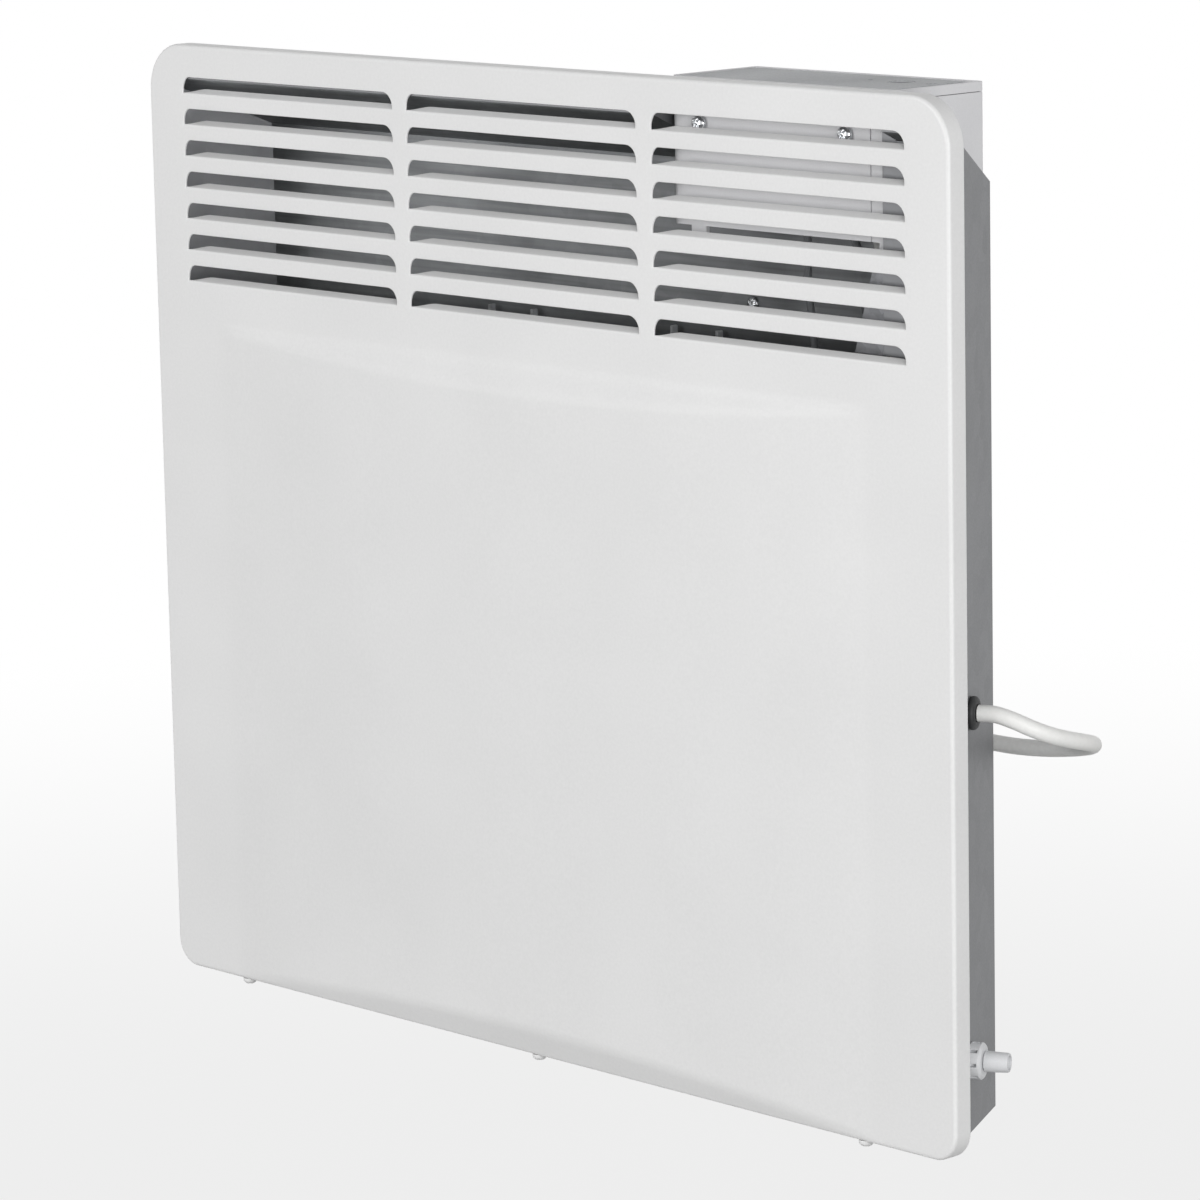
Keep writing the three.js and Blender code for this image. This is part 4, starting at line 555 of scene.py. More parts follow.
def node_tree_on(name, source, sockets, build):
    """Runs a Geometry Nodes tree with named inputs on an empty mesh and returns the result as
    a plain mesh. build gets the tree and its input node and returns the last geometry."""
    tree = bpy.data.node_groups.new(name, "GeometryNodeTree")
    tree.interface.new_socket("Geometry", in_out="OUTPUT", socket_type="NodeSocketGeometry")
    keys = {
        label: tree.interface.new_socket(label, in_out="INPUT", socket_type=kind).identifier
        for label, (kind, value) in sockets.items()
    }
    entry = add_node(tree, "NodeGroupInput")
    made = build(tree, entry.outputs)
    realized = add_node(tree, "GeometryNodeRealizeInstances", inputs={"Geometry": made})
    merged = add_node(tree, "GeometryNodeMergeByDistance", inputs={
        "Geometry": realized.outputs[0], "Distance": 1e-6,
    })
    coated = add_node(tree, "GeometryNodeSetMaterial", inputs={
        "Geometry": merged.outputs[0], "Material": source.data.materials[0],
    })
    add_node(tree, "NodeGroupOutput", inputs={0: coated.outputs[0]})
    holder = linked(name, bpy.data.meshes.new(name))
    modifier = holder.modifiers.new(name, "NODES")
    modifier.node_group = tree
    for label, (kind, value) in sockets.items():
        modifier[keys[label]] = value
    seen = holder.evaluated_get(bpy.context.evaluated_depsgraph_get())
    mesh = bpy.data.meshes.new_from_object(seen)
    bpy.data.objects.remove(holder)
    bpy.data.objects.remove(source)
    return mesh


def louvre_field(tree, inputs):
    """A grid of points, stood upright, with one louvre on each."""
    grid = add_node(tree, "GeometryNodeMeshGrid", inputs={
        "Size X": inputs["Width"], "Size Y": inputs["Height"],
        "Vertices X": inputs["Columns"], "Vertices Y": inputs["Rows"],
    })
    placed = add_node(tree, "GeometryNodeTransform", inputs={
        "Geometry": grid.outputs["Mesh"], "Translation": inputs["Centre"],
        "Rotation": (math.pi / 2, 0, 0),
    })
    shape = add_node(tree, "GeometryNodeObjectInfo", inputs={"Object": inputs["Louvre"]})
    return add_node(tree, "GeometryNodeInstanceOnPoints", inputs={
        "Points": placed.outputs[0], "Instance": shape.outputs["Geometry"],
    }).outputs[0]


column_pitch = SLOT_WIDTH + SLOT_GAP
field_left = -(SLOT_COLUMNS * SLOT_WIDTH + (SLOT_COLUMNS - 1) * SLOT_GAP) / 2
field_width = (SLOT_COLUMNS - 1) * column_pitch
field_height = (SLOT_ROWS - 1) * SLOT_PITCH
louvre_mesh = node_tree_on("louvre_field", louvre, {
    "Louvre": ("NodeSocketObject", louvre),
    "Width": ("NodeSocketFloat", field_width / 1000),
    "Height": ("NodeSocketFloat", field_height / 1000),
    "Columns": ("NodeSocketInt", SLOT_COLUMNS),
    "Rows": ("NodeSocketInt", SLOT_ROWS),
    "Centre": ("NodeSocketVector", at(
        field_left + field_width / 2, 0, TOP_SLOT_BASE - field_height / 2
    )),
}, louvre_field)

# The rest of the panel: the fold and flange run round it as one strip, station by station
panel_shape = bmesh.new()
panel_shape.from_mesh(louvre_mesh)
columns = [BOW_HALF * (2 * i / BOW_COLUMNS - 1) for i in range(BOW_COLUMNS + 1)]
stations = [(x, FOOT_CORNER, 0, -1, FOOT_CORNER) for x in columns]
for corner, (side, z, radius) in enumerate((
    (1, FOOT_CORNER, FOOT_CORNER), (1, PANEL_HEIGHT - TOP_CORNER, TOP_CORNER),
    (-1, PANEL_HEIGHT - TOP_CORNER, TOP_CORNER), (-1, FOOT_CORNER, FOOT_CORNER),
)):
    x = side * (PANEL_WIDTH / 2 - radius)
    for i in range(CORNER_STEPS + 1):
        angle = math.pi / 2 * (corner - 1 + i / CORNER_STEPS)
        stations.append((x, z, math.cos(angle), math.sin(angle), radius))

edge_profile = []
for degrees in FOLD_ANGLES[::-1]:
    angle = math.radians(degrees)
    bend = FOLD - SHEET
    edge_profile.append((FOLD - bend * math.cos(angle), FOLD - bend * math.sin(angle)))
edge_profile += [(SHEET, FLANGE - 0.5), (0.85, FLANGE - 0.15), (0.5, FLANGE),
                 (0.15, FLANGE - 0.15), (0.0, FLANGE - 0.5)]
for degrees in FOLD_ANGLES:
    angle = math.radians(degrees)
    edge_profile.append((FOLD * (1 - math.cos(angle)), FOLD * (1 - math.sin(angle))))
strip = []
for index, (x, z, out_x, out_z, radius) in enumerate(stations):
    row = []
    for i, (inset, depth) in enumerate(edge_profile):
        if i in (0, len(edge_profile) - 1) and index <= BOW_COLUMNS:
            depth -= bow_height(x, FOLD)
        reach = radius - inset
        row.append(panel_shape.verts.new(at(x + reach * out_x, depth, z + reach * out_z)))
    strip.append(row)
skin(panel_shape, [list(ring) for ring in zip(*strip)], closed_ends=False)

# The bowed field, and the flat between it, the louvres and the fold
bow_rows = [FOLD + 0.75 * i for i in range(21)]
bow_rows += [bow_rows[-1] + (300 - bow_rows[-1]) * i / 30 for i in range(1, 31)]
bow_rows += [300 + 0.75 * i for i in range(1, 29)]
flat_edge = [(x + (radius - FOLD) * out_x, z + (radius - FOLD) * out_z)
             for x, z, out_x, out_z, radius in stations[BOW_COLUMNS:]]
flat_edge += [(-BOW_HALF, z) for z in bow_rows]
flat_edge += [(x, bow_rows[-1]) for x in columns[1:-1]]
flat_edge += [(BOW_HALF, z) for z in bow_rows[:0:-1]]
field_right = -field_left + SLOT_GAP / 2
grid_x = [-field_right + column_pitch * i for i in range(SLOT_COLUMNS + 1)]
field_base = TOP_SLOT_BASE - field_height - (SLOT_PITCH - SLOT_HEIGHT) / 2
grid_z = [field_base + SLOT_PITCH * i for i in range(SLOT_ROWS + 1)]
field_edge = [(x, grid_z[0]) for x in grid_x] + [(grid_x[-1], z) for z in grid_z[1:]]
field_edge += [(x, grid_z[-1]) for x in grid_x[-2::-1]] + [(grid_x[0], z) for z in grid_z[-2:0:-1]]
for depth in (0.0, SHEET):
    rows = [
        [panel_shape.verts.new(at(x, depth - bow_height(x, z), z)) for x in columns]
        for z in bow_rows
    ]
    for near, far in zip(rows, rows[1:]):
        for i in range(BOW_COLUMNS):
            panel_shape.faces.new((near[i], near[i + 1], far[i + 1], far[i]))
    weld_patches(panel_shape, [flat_edge, field_edge], depth)
bmesh.ops.remove_doubles(panel_shape, verts=panel_shape.verts, dist=2e-6)
front_panel = new_piece("enamelled_front", panel_shape, powder_coat)
sharpen(front_panel, 50)
fit(front_panel, "heater", "white_enamel", "front_panel")


# ---
# Panel screws: white-coated pan-head screws, driven up through the lower flange into the grille.
# Each head has a cross recess pressed into its crown.

PANEL_SCREW_PLACES = [(-210.0, 4.6, -0.3), (-4.0, 4.6, -0.3), (202.0, 4.6, -0.3)]
HEAD_RINGS = 16
HEAD_SIDES = 48


def pan_head(shape, radius, height, shank, length, axis):
    """A pan-head screw about the origin: its head rises along the axis, its shank goes back.
    The cross recess is pressed into a fine polar mesh of the crown."""
    axis = Vector(axis)
    side = axis.orthogonal().normalized()
    other = axis.cross(side)
    reach, width, depth = 0.62 * radius, 0.15 * radius, 0.42 * height

    def crown(r, angle):
        u, v = r * math.cos(angle), r * math.sin(angle)
        rise = height * (1 - (r / radius) ** 3.2 * 0.55)
        arm = min(abs(u), abs(v)) - width + 0.06 * max(abs(u), abs(v))
        open_share = min(max(0.5 - arm / (0.10 * radius), 0.0), 1.0)
        end_share = min(max((reach - max(abs(u), abs(v))) / (0.2 * radius), 0.0), 1.0)
        return rise - depth * open_share * end_share

    profile = [(radius * (i / HEAD_RINGS) ** 0.8, None) for i in range(1, HEAD_RINGS)]
    profile += [(radius * 0.97, 0.42 * height), (radius, 0.3 * height), (radius, 0.06 * height),
                (radius * 0.97, 0.0), (shank, 0.0), (shank, -length),
                (shank * 0.4, -length - shank)]
    centre = shape.verts.new(axis * crown(0, 0) / 1000)
    rings = [[centre]]
    for r, height_here in profile:
        ring = []
        for i in range(HEAD_SIDES):
            angle = 2 * math.pi * i / HEAD_SIDES
            rise = crown(r, angle) if height_here is None else height_here
            outward = math.cos(angle) * side + math.sin(angle) * other
            ring.append(shape.verts.new((axis * rise + r * outward) / 1000))
        rings.append(ring)
    rings.append([shape.verts.new(axis * (-length - 1.4 * shank) / 1000)])
    skin(shape, rings, closed_ends=False)


def fasteners(name, shape, places, material):
    """Geometry Nodes put one fastener, modelled about the origin, on each of some points."""
    source = new_piece(name + "_source", shape, material)
    points = bpy.data.meshes.new(name + "_points")
    points.from_pydata([at(*place) for place in places], [], [])
    holder = linked(name + "_points", points)

    def on_points(tree, inputs):
        where = add_node(tree, "GeometryNodeObjectInfo", inputs={"Object": inputs["Places"]})
        what = add_node(tree, "GeometryNodeObjectInfo", inputs={"Object": inputs["Fastener"]})
        return add_node(tree, "GeometryNodeInstanceOnPoints", inputs={
            "Points": where.outputs["Geometry"], "Instance": what.outputs["Geometry"],
        }).outputs[0]

    mesh = node_tree_on(name, source, {
        "Places": ("NodeSocketObject", holder), "Fastener": ("NodeSocketObject", source),
    }, on_points)
    bpy.data.objects.remove(holder)
    mesh.shade_smooth()
    mesh.name = name
    piece = linked(name, mesh)
    sharpen(piece, 50)
    return piece


screw_shape = bmesh.new()
pan_head(screw_shape, 3.3, 3.0, 1.7, 5.5, (0, 0, -1))
panel_screws = fasteners("panel_screws", screw_shape, PANEL_SCREW_PLACES, powder_coat)
fit(
    panel_screws, "heater", "white_enamel",
    "panel_screw_left", "panel_screw_middle", "panel_screw_right",
)


# ---
# Casing and inlet grille: 1 mm galvanised sheet, cut, folded and left bare. The casing's sides
# slant in to the rear, its roof slopes, and a slotted strip closes its open underside.

SPANGLE = 7.0
SHEET_EDGE = 0.28


def galvanised(name, shades, spangle, roughness, contrast=0.025, streaks=0.0, right_end=1.0):
    """Hot-dip zinc: crystals as cells on Object coordinates, each a little lighter or darker
    and more or less glossy, under rolling streaks along X. Shades are hex, the spangle
    millimetres, the rest shares of the colour, right_end the share at the panel's right end,
    towards which the colour is darkened along X as a painted shade."""
    material = grained(name, shades, 0.9, roughness, 0.004, {"Metallic": 1.0})
    tree = material.node_tree
    shader = tree.nodes["Principled BSDF"]
    place = next(n for n in tree.nodes if n.type == "TEX_COORD").outputs["Object"]
    warped = add_node(tree, "ShaderNodeTexNoise", inputs={
        "Vector": place, "Scale": 1000 / spangle, "Detail": 2.0,
    })
    bent = add_node(tree, "ShaderNodeMix", {"data_type": "VECTOR"}, {
        0: 0.0015, 4: place, 5: warped.outputs["Color"],
    })
    crystal = add_node(tree, "ShaderNodeTexVoronoi", inputs={
        "Vector": bent.outputs[1], "Scale": 1000 / spangle,
    })
    tone = add_node(tree, "ShaderNodeSeparateColor", inputs={0: crystal.outputs["Color"]})
    bright = add_node(tree, "ShaderNodeMapRange", inputs={
        "Value": tone.outputs[0], "To Min": 1 - contrast, "To Max": 1 + contrast,
    })
    drawn = add_node(tree, "ShaderNodeVectorMath", {"operation": "MULTIPLY"}, {
        0: place, 1: (18, 260, 420),
    })
    lines = add_node(tree, "ShaderNodeTexNoise", inputs={
        "Vector": drawn.outputs[0], "Scale": 1.0, "Detail": 2.0,
    })
    rolled = add_node(tree, "ShaderNodeMapRange", inputs={
        "Value": lines.outputs["Fac"], "From Min": 0.3, "From Max": 0.7,
        "To Min": 1 - streaks, "To Max": 1 + streaks,
    })
    dimmed = add_node(tree, "ShaderNodeMath", {"operation": "MULTIPLY"}, {
        0: bright.outputs["Result"], 1: rolled.outputs["Result"],
    })
    # Painted shade: the colour darkens along X to the share right_end at the panel's right end.
    if right_end != 1.0:
        axes = add_node(tree, "ShaderNodeSeparateXYZ", inputs={0: place})
        painted_right_shade = add_node(tree, "ShaderNodeMapRange", inputs={
            "Value": axes.outputs["X"], "From Min": -0.1, "From Max": 0.12, "To Min": 1.0,
            "To Max": right_end,
        })
        dimmed = add_node(tree, "ShaderNodeMath", {"operation": "MULTIPLY"}, {
            0: dimmed.outputs[0], 1: painted_right_shade.outputs["Result"],
        })
    base = shader.inputs["Base Color"].links[0].from_socket
    shaded = add_node(tree, "ShaderNodeVectorMath", {"operation": "SCALE"}, {
        0: base, "Scale": dimmed.outputs[0],
    })
    tree.links.new(shaded.outputs[0], shader.inputs["Base Color"])
    rough = shader.inputs["Roughness"].links[0].from_socket
    varied = add_node(tree, "ShaderNodeMath", {"operation": "MULTIPLY_ADD"}, {
        0: tone.outputs[1], 1: 0.04, 2: rough,
    })
    tree.links.new(varied.outputs[0], shader.inputs["Roughness"])
    return material


def dressed(node, name, material, slot, edge, body="heater", steps=2, bend=20, sharp=35):
    """A clean copy in a CAD node's place: doubles merged, flat faces joined and cut afresh into
    triangles, so that none spans a hole, and edges rounded by a real radius in millimetres."""
    shape = bmesh.new()
    shape.from_mesh(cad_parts[node].data)
    bmesh.ops.remove_doubles(shape, verts=shape.verts, dist=1e-6)
    bmesh.ops.dissolve_limit(
        shape, angle_limit=math.radians(0.4), verts=shape.verts, edges=shape.edges
    )
    bmesh.ops.triangulate(shape, faces=[face for face in shape.faces if len(face.verts) > 4])
    piece = new_piece(name, shape, material)
    if edge:
        bevel = piece.modifiers.new("edges", "BEVEL")
        bevel.width = edge / 1000
        bevel.segments = steps
        bevel.limit_method = "ANGLE"
        bevel.angle_limit = math.radians(bend)
        bevel.miter_outer = "MITER_ARC"
    sharpen(piece, sharp)
    fit(piece, body, slot, node)
    return piece


# Hot-dip galvanised steel: mid grey and satin, its crystals just showing. Its grey is darker than
# the zinc inside, a painted shade on the outer faces
zinc_sheet_painted_shade = galvanised("galvanised_steel", ("757678", "7d7e80"), SPANGLE, (0.42, 0.56))
# The inner side of the rear wall and roof: a lighter copy of the same zinc, painted light,
# with rolling streaks along the panel, and darker towards its right end, a painted shade
inner_zinc_painted_lit_and_shaded = galvanised(
    "rolled_galvanised_steel_painted_light_and_shade", ("989a9c", "a2a4a6"), SPANGLE, (0.38, 0.5), 0.04, 0.16, 0.5
)
casing = dressed("rear_casing", "casing", zinc_sheet_painted_shade, "galvanised_sheet", SHEET_EDGE)
# Inward faces of the rear wall and roof take the lighter copy: painted light inside the casing.
casing.data.materials.append(inner_zinc_painted_lit_and_shaded)
for face in casing.data.polygons:
    rear_wall = face.normal.y < -0.95 and face.center.y > at(0, 25, 0).y
    roof = face.normal.z < -0.3 and face.center.z > at(0, 0, 350).z
    if rear_wall or roof:
        face.material_index = 1

dressed("inlet_grille", "inlet_strip", zinc_sheet_painted_shade, "galvanised_sheet", SHEET_EDGE)


# ---
# Control box: an injection-moulded ABS tub and lid that stand up through the casing's roof. A
# grey printed film is stuck into the lid's recess.

MOULDED_EDGE = 0.45

# White ABS: spark-eroded to a fine matt texture
white_abs = grained("moulded_white_abs", ("cfcfd1", "d6d6d8"), 0.7, (0.42, 0.55), 0.012)
dressed("control_box", "box_tub", white_abs, "white_plastic", MOULDED_EDGE)
dressed("control_box_cover", "box_lid", white_abs, "white_plastic", MOULDED_EDGE)

BUTTON_PLACE = (190.0, 45.3)
LIGHT_PLACE = (172.4, 45.3)
WINDOW_PLACE = (207.6, 45.3)
LID_FACE = 450.2
FILM = 0.45
FILM_GLUE = 0.02
FILM_EDGE = 0.1
FILM_LOW = (87.4, 13.4)
FILM_HIGH = (212.4, 62.1)
FILM_CORNER = 3.0
FILM_HOLES = ((BUTTON_PLACE, 6.1), (LIGHT_PLACE, 1.5), (WINDOW_PLACE, 2.4))
HOLE_SIDES = 48


def film_outlines(inset):
    """The film's outline and its three holes, drawn in by an inset."""
    low, high = [value + inset for value in FILM_LOW], [value - inset for value in FILM_HIGH]
    outlines = [rounded_rectangle(low, high, FILM_CORNER - inset, 6)]
    for (x, y), radius in FILM_HOLES:
        turns = [2 * math.pi * i / HOLE_SIDES for i in range(HOLE_SIDES)]
        outlines.append([
            (x + (radius + inset) * math.cos(a), y + (radius + inset) * math.sin(a)) for a in turns
        ])
    return outlines


film_shape = bmesh.new()
levels = []
for inset, z in ((0.0, LID_FACE + FILM_GLUE), (0.0, LID_FACE + FILM - FILM_EDGE),
                 (FILM_EDGE, LID_FACE + FILM)):
    levels.append([
        [film_shape.verts.new(at(x, y, z)) for x, y in outline] for outline in film_outlines(inset)
    ])
for loops in zip(*levels):
    skin(film_shape, loops, closed_ends=False)
for inset, level in ((0.0, levels[0]), (FILM_EDGE, levels[-1])):
    flat = [[Vector((x, y, 0)) for x, y in outline] for outline in film_outlines(inset)]
    verts = [vert for loop in level for vert in loop]
    for corners in geometry.tessellate_polygon(flat):
        film_shape.faces.new([verts[i] for i in corners])
# Embossed polycarbonate film: grey, with a fine dark fleck all over
printed_film = grained("embossed_grey_film", ("97999c", "c6c8ca"), 1.1, (0.45, 0.65), 0.03)
film = new_piece("lid_film", film_shape, printed_film)
sharpen(film, 40)
fit(film, "heater", "grey_plastic")


# ---
# Power button: a round grey ABS key in the lid, dished for the fingertip. Its collar holds it
# under the lid, and its stem presses a small switch.

LID_UNDER = 448.6

stem_end = 1000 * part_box("power_button")[0].z + UPPER_RAIL
button_shape = bmesh.new()
turned(button_shape, [
    (0, stem_end), (1.8, stem_end), (1.8, LID_UNDER - 1.7), (6.7, LID_UNDER - 1.7),
    (6.7, LID_UNDER - 0.3), (5.5, LID_UNDER - 0.3), (5.5, LID_FACE - 0.4), (5.38, LID_FACE - 0.1),
    (5.1, LID_FACE), (4.2, LID_FACE - 0.12), (2.8, LID_FACE - 0.4), (1.3, LID_FACE - 0.55),
    (0, LID_FACE - 0.6),
], (*BUTTON_PLACE, 0), (0, 0, 1), 64)
# Grey ABS: satin, a little darker than the film round it
button_grey = grained("moulded_grey_abs_button", ("6f7174", "7a7c7f"), 0.6, (0.4, 0.55), 0.01)
button = new_piece("button_key", button_shape, button_grey)
sharpen(button, 40)
fit(button, "button", "grey_plastic", "power_button")


# ---
# Status light and remote receiver: a clear-tinted acrylic light pipe and a dark infrared window,
# both flush with the lid.

pipe_foot = 1000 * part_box("status_light_pipe")[0].z + UPPER_RAIL
pipe_shape = bmesh.new()
turned(pipe_shape, [
    (0, pipe_foot), (2.2, pipe_foot), (2.2, pipe_foot + 1.5), (1.2, pipe_foot + 1.5),
    (1.2, LID_FACE - 0.3), (1.0, LID_FACE - 0.05), (0.6, LID_FACE), (0, LID_FACE),
], (*LIGHT_PLACE, 0), (0, 0, 1), 32)
# Frosted acrylic: glossy, greyed by the dark pipe under it
acrylic = grained("frosted_acrylic", ("7d7f80", "8a8c8d"), 0.5, (0.15, 0.3), 0.004)
pipe = new_piece("light_pipe", pipe_shape, acrylic)
sharpen(pipe, 40)
fit(pipe, "heater", "pale_grey_plastic", "status_light_pipe")

window_shape = bmesh.new()
turned(window_shape, [
    (0, LID_UNDER), (2.0, LID_UNDER), (2.0, LID_FACE - 0.3), (1.8, LID_FACE - 0.08),
    (1.2, LID_FACE), (0, LID_FACE),
], (*WINDOW_PLACE, 0), (0, 0, 1), 32)
# Infrared-passing polycarbonate: glossy and nearly black, faintly red
infrared = grained("infrared_window", ("1b1517", "231c1e"), 0.6, (0.08, 0.16), 0.002)
window = new_piece("receiver_lens", window_shape, infrared)
sharpen(window, 40)
fit(window, "heater", "dark_plastic", "receiver_window")


# ---
# Box screws: two chromed pan-head screws through the tub's front wall into the panel's brackets.
# They show through the top louvre of the right column.

BOX_SCREW_PLACES = [(103.9, 10.7, 431.2), (190.5, 10.7, 431.2)]

screw_shape = bmesh.new()
pan_head(screw_shape, 3.9, 2.9, 1.8, 8.0, (0, -1, 0))
# Chrome plate: nearly a mirror, with the faintest polishing marks
chrome = grained(
    "bright_chrome_plate", ("c9cbcd", "dcdee0"), 1.2, (0.05, 0.14), 0.003, {"Metallic": 1.0}
)
box_screws = fasteners("box_screws", screw_shape, BOX_SCREW_PLACES, chrome)
fit(box_screws, "heater", "chromed_steel", "control_box_screw_left", "control_box_screw_right")


# ---
# Circuit board and what it carries: FR4 laminate with solder resist, held by four small screws,
# with a push switch above it and a relay, a film capacitor and a power supply under it.

BOARD_SCREW_X = (96.0, 208.4)
BOARD_SCREW_Y = (22.0, 53.5)
BOARD_SCREW_LIFT = 0.3

screw_shape = bmesh.new()
pan_head(screw_shape, 2.8, 1.8, 1.3, 5.0, (0, 0, 1))
screw_seat = 1000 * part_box("circuit_board")[1].z + UPPER_RAIL + BOARD_SCREW_LIFT
board_screws = fasteners("board_screws", screw_shape, [
    (x, y, screw_seat) for x in BOARD_SCREW_X for y in BOARD_SCREW_Y
], chrome)
fit(
    board_screws, "heater", "chromed_steel",
    "board_screw_1", "board_screw_2", "board_screw_3", "board_screw_4",
)

# Solder resist: green and glossy over the glass weave
laminate = grained("solder_resist_on_fr4", ("1b5535", "23693f"), 0.6, (0.25, 0.4), 0.01)
dressed("circuit_board", "board", laminate, "green_laminate", 0.15)

# Nylon, black: satin, as all the small cases are
black_nylon = grained("moulded_black_nylon", ("1e2023", "292b2e"), 0.8, (0.4, 0.55), 0.01)
# Film capacitor's case: pale grey-green, satin
film_case = grained("film_capacitor_case", ("b7b9a8", "c4c6b6"), 0.8, (0.35, 0.5), 0.008)
for node, name, material, slot in (
    ("button_switch", "push_switch", black_nylon, "dark_plastic"),
    ("load_relay", "relay_case", black_nylon, "dark_plastic"),
    ("filter_capacitor", "film_capacitor", film_case, "pale_grey_plastic"),
    ("power_supply", "supply_module", black_nylon, "dark_plastic"),
):
    dressed(node, name, material, slot, 0.4)


# ---
# Terminal block and cord clamp: a steatite block with sunk screw wells, and a nylon clamp that
# grips the lead's tail inside the casing.

# Fired steatite: warm white and dull
steatite = grained("fired_steatite", ("d8d3c8", "e2ddd2"), 0.6, (0.5, 0.68), 0.01)
dressed("terminal_block", "steatite_block", steatite, "ceramic", 0.4)

# White nylon: satin, a little cold
white_nylon = grained("moulded_white_nylon", ("d9dad8", "e3e4e2"), 0.8, (0.4, 0.55), 0.01)
dressed("cord_clamp", "cord_grip", white_nylon, "white_plastic", 0.8, steps=3)


# ---
# Heating element: an aluminium extrusion with fins round a sealed rod, a ceramic bush and a
# terminal stud at each end, held by folded brackets that are riveted to the casing.

# Extruded aluminium: satin, greyed by heat
extruded = grained(
    "extruded_aluminium", ("a9acb0", "b8bbbf"), 0.7, (0.32, 0.46), 0.006, {"Metallic": 1.0}
)
dressed("heating_element", "finned_element", extruded, "aluminium", 0.5)

for place in ("left", "right"):
    for node, name, material, slot, edge in (
        ("element_bracket_", "bracket_plate_", zinc_sheet_painted_shade, "galvanised_sheet", 0.25),
        ("element_bush_", "steatite_bush_", steatite, "ceramic", 0.4),
        ("element_terminal_", "stud_", chrome, "chromed_steel", 0.3),
    ):
        dressed(node + place, name + place, material, slot, edge)

rivet_shape = bmesh.new()
turned(rivet_shape, [
    (0, 1.8), (1.2, 1.72), (2.6, 1.3), (3.6, 0.6), (4.0, 0.1), (3.9, 0.0), (1.6, 0.0),
    (1.6, -4.0), (0, -4.0),
], (0, WALL, UPPER_RAIL), (0, 1, 0), 32)
rivets = fasteners("casing_rivets", rivet_shape, [
    (-196.0, 54.3, 138.0), (196.0, 54.3, 138.0), (203.5, 54.3, 359.0),
], zinc_sheet_painted_shade)
fit(
    rivets, "heater", "galvanised_sheet",
    "bracket_rivet_left", "bracket_rivet_right", "cutout_rivet",
)


# ---
# Over-temperature cut-out: a bimetal switch in a phenolic case, screwed to a tapered bracket
# that hangs behind the louvres, below the control box.

# A thicker zinc coat, with small crystals that stand out in light and dark
coarse_zinc = galvanised(
    "coarse_galvanised_steel", ("7e7f82", "909194"), 3.4, (0.5, 0.65), 0.14
)
dressed("cutout_bracket", "cutout_plate", coarse_zinc, "galvanised_sheet", 0.25)
dressed("thermal_cutout", "cutout_case", black_nylon, "dark_plastic", 0.3)

screw_shape = bmesh.new()
pan_head(screw_shape, 2.4, 1.6, 1.2, 2.4, (0, -1, 0))
cutout_screw = fasteners("cutout_fixing", screw_shape, [(211.5, 13.7, 356.0)], chrome)
fit(cutout_screw, "heater", "chromed_steel", "cutout_screw")

# Earth screw: a small chromed screw in the casing's rear wall, seen through the sixth louvre
screw_shape = bmesh.new()
pan_head(screw_shape, 3.3, 2.0, 1.5, 2.6, (0, -1, 0))
earth_screw = fasteners("earth_screw", screw_shape, [(93.0, 52.95, 348.0)], chrome)
fit(earth_screw, "heater", "chromed_steel")


# ---
# Inner leads: silicone-sleeved single cores between element, cut-out, block and sensor, and the
# sheathed tail of the mains lead.

# Silicone sleeve: mid grey, dull, a little dusty
silicone = grained("silicone_sleeve", ("7b7d80", "87898c"), 1.0, (0.45, 0.6), 0.01)
for node, name, material, slot in (
    ("lead_element_to_cutout", "core_element_to_cutout", silicone, "dark_plastic"),
    ("lead_cutout_to_block", "core_cutout_to_block", silicone, "dark_plastic"),
    ("lead_element_to_block", "core_element_to_block", silicone, "dark_plastic"),
    ("lead_sensor", "core_sensor", silicone, "dark_plastic"),
    ("cord_tail", "sheathed_tail", pvc_sheath, "cord_sheath"),
):
    dressed(node, name, material, slot, 0, sharp=60)


# ---
# Cord outlet: a cup-shaped grommet of black rubber, snapped into the slanted side wall, with
# the lead coming out of its middle.

SLANT = math.radians(28)
OUTWARDS = (math.cos(SLANT), math.sin(SLANT), 0)
OUTLET = (249.922, 20.5, 191.0)

grommet_shape = bmesh.new()
turned(grommet_shape, [
    (0, -4.3), (6.6, -4.3), (6.9, -4.0), (6.9, -1.3), (5.2, -1.3), (5.2, 0.3), (6.9, 0.3),
    (7.2, 0.6), (7.2, 1.6), (6.95, 2.3), (6.3, 2.85), (5.4, 3.0), (4.2, 2.95), (3.75, 2.7),
    (3.7, 2.2), (0, 2.1),
], OUTLET, OUTWARDS, 48)
grommet = new_piece("rubber_grommet", grommet_shape, black_rubber)
sharpen(grommet, 50)
fit(grommet, "heater", "black_rubber", "cord_grommet")


# ---
# Room sensor: a vented holder of pale grey ABS clipped into the side wall, and the hollow tip
# that holds the thermistor out in the room's air.

SENSOR = (251.783, 17.0, 41.5)

# Pale grey ABS: satin, near the front's white
pale_abs = grained("moulded_pale_grey_abs", ("cfd0d2", "d8d9db"), 0.6, (0.42, 0.56), 0.008)
dressed("sensor_holder", "vented_holder", pale_abs, "pale_grey_plastic", 0.25, bend=30)

tip_shape = bmesh.new()
turned(tip_shape, [
    (0, 6.3), (4.2, 6.3), (4.5, 6.6), (4.42, 11.0), (4.2, 16.2), (4.05, 16.7), (3.75, 16.9),
    (3.2, 16.85), (3.05, 16.5), (3.0, 14.0), (2.7, 13.8), (1.2, 13.8), (1.0, 14.2), (0, 14.5),
], SENSOR, OUTWARDS, 48)
tip_piece = new_piece("thermistor_tip", tip_shape, pale_abs)
sharpen(tip_piece, 50)
fit(tip_piece, "heater", "pale_grey_plastic", "sensor_tip")


# ---
# Wall bracket: two rails and two folded arms with hooks, spot-welded 1.5 mm steel, epoxy
# painted. A sprung plastic catch slides on the lower rail and locks the heater down.

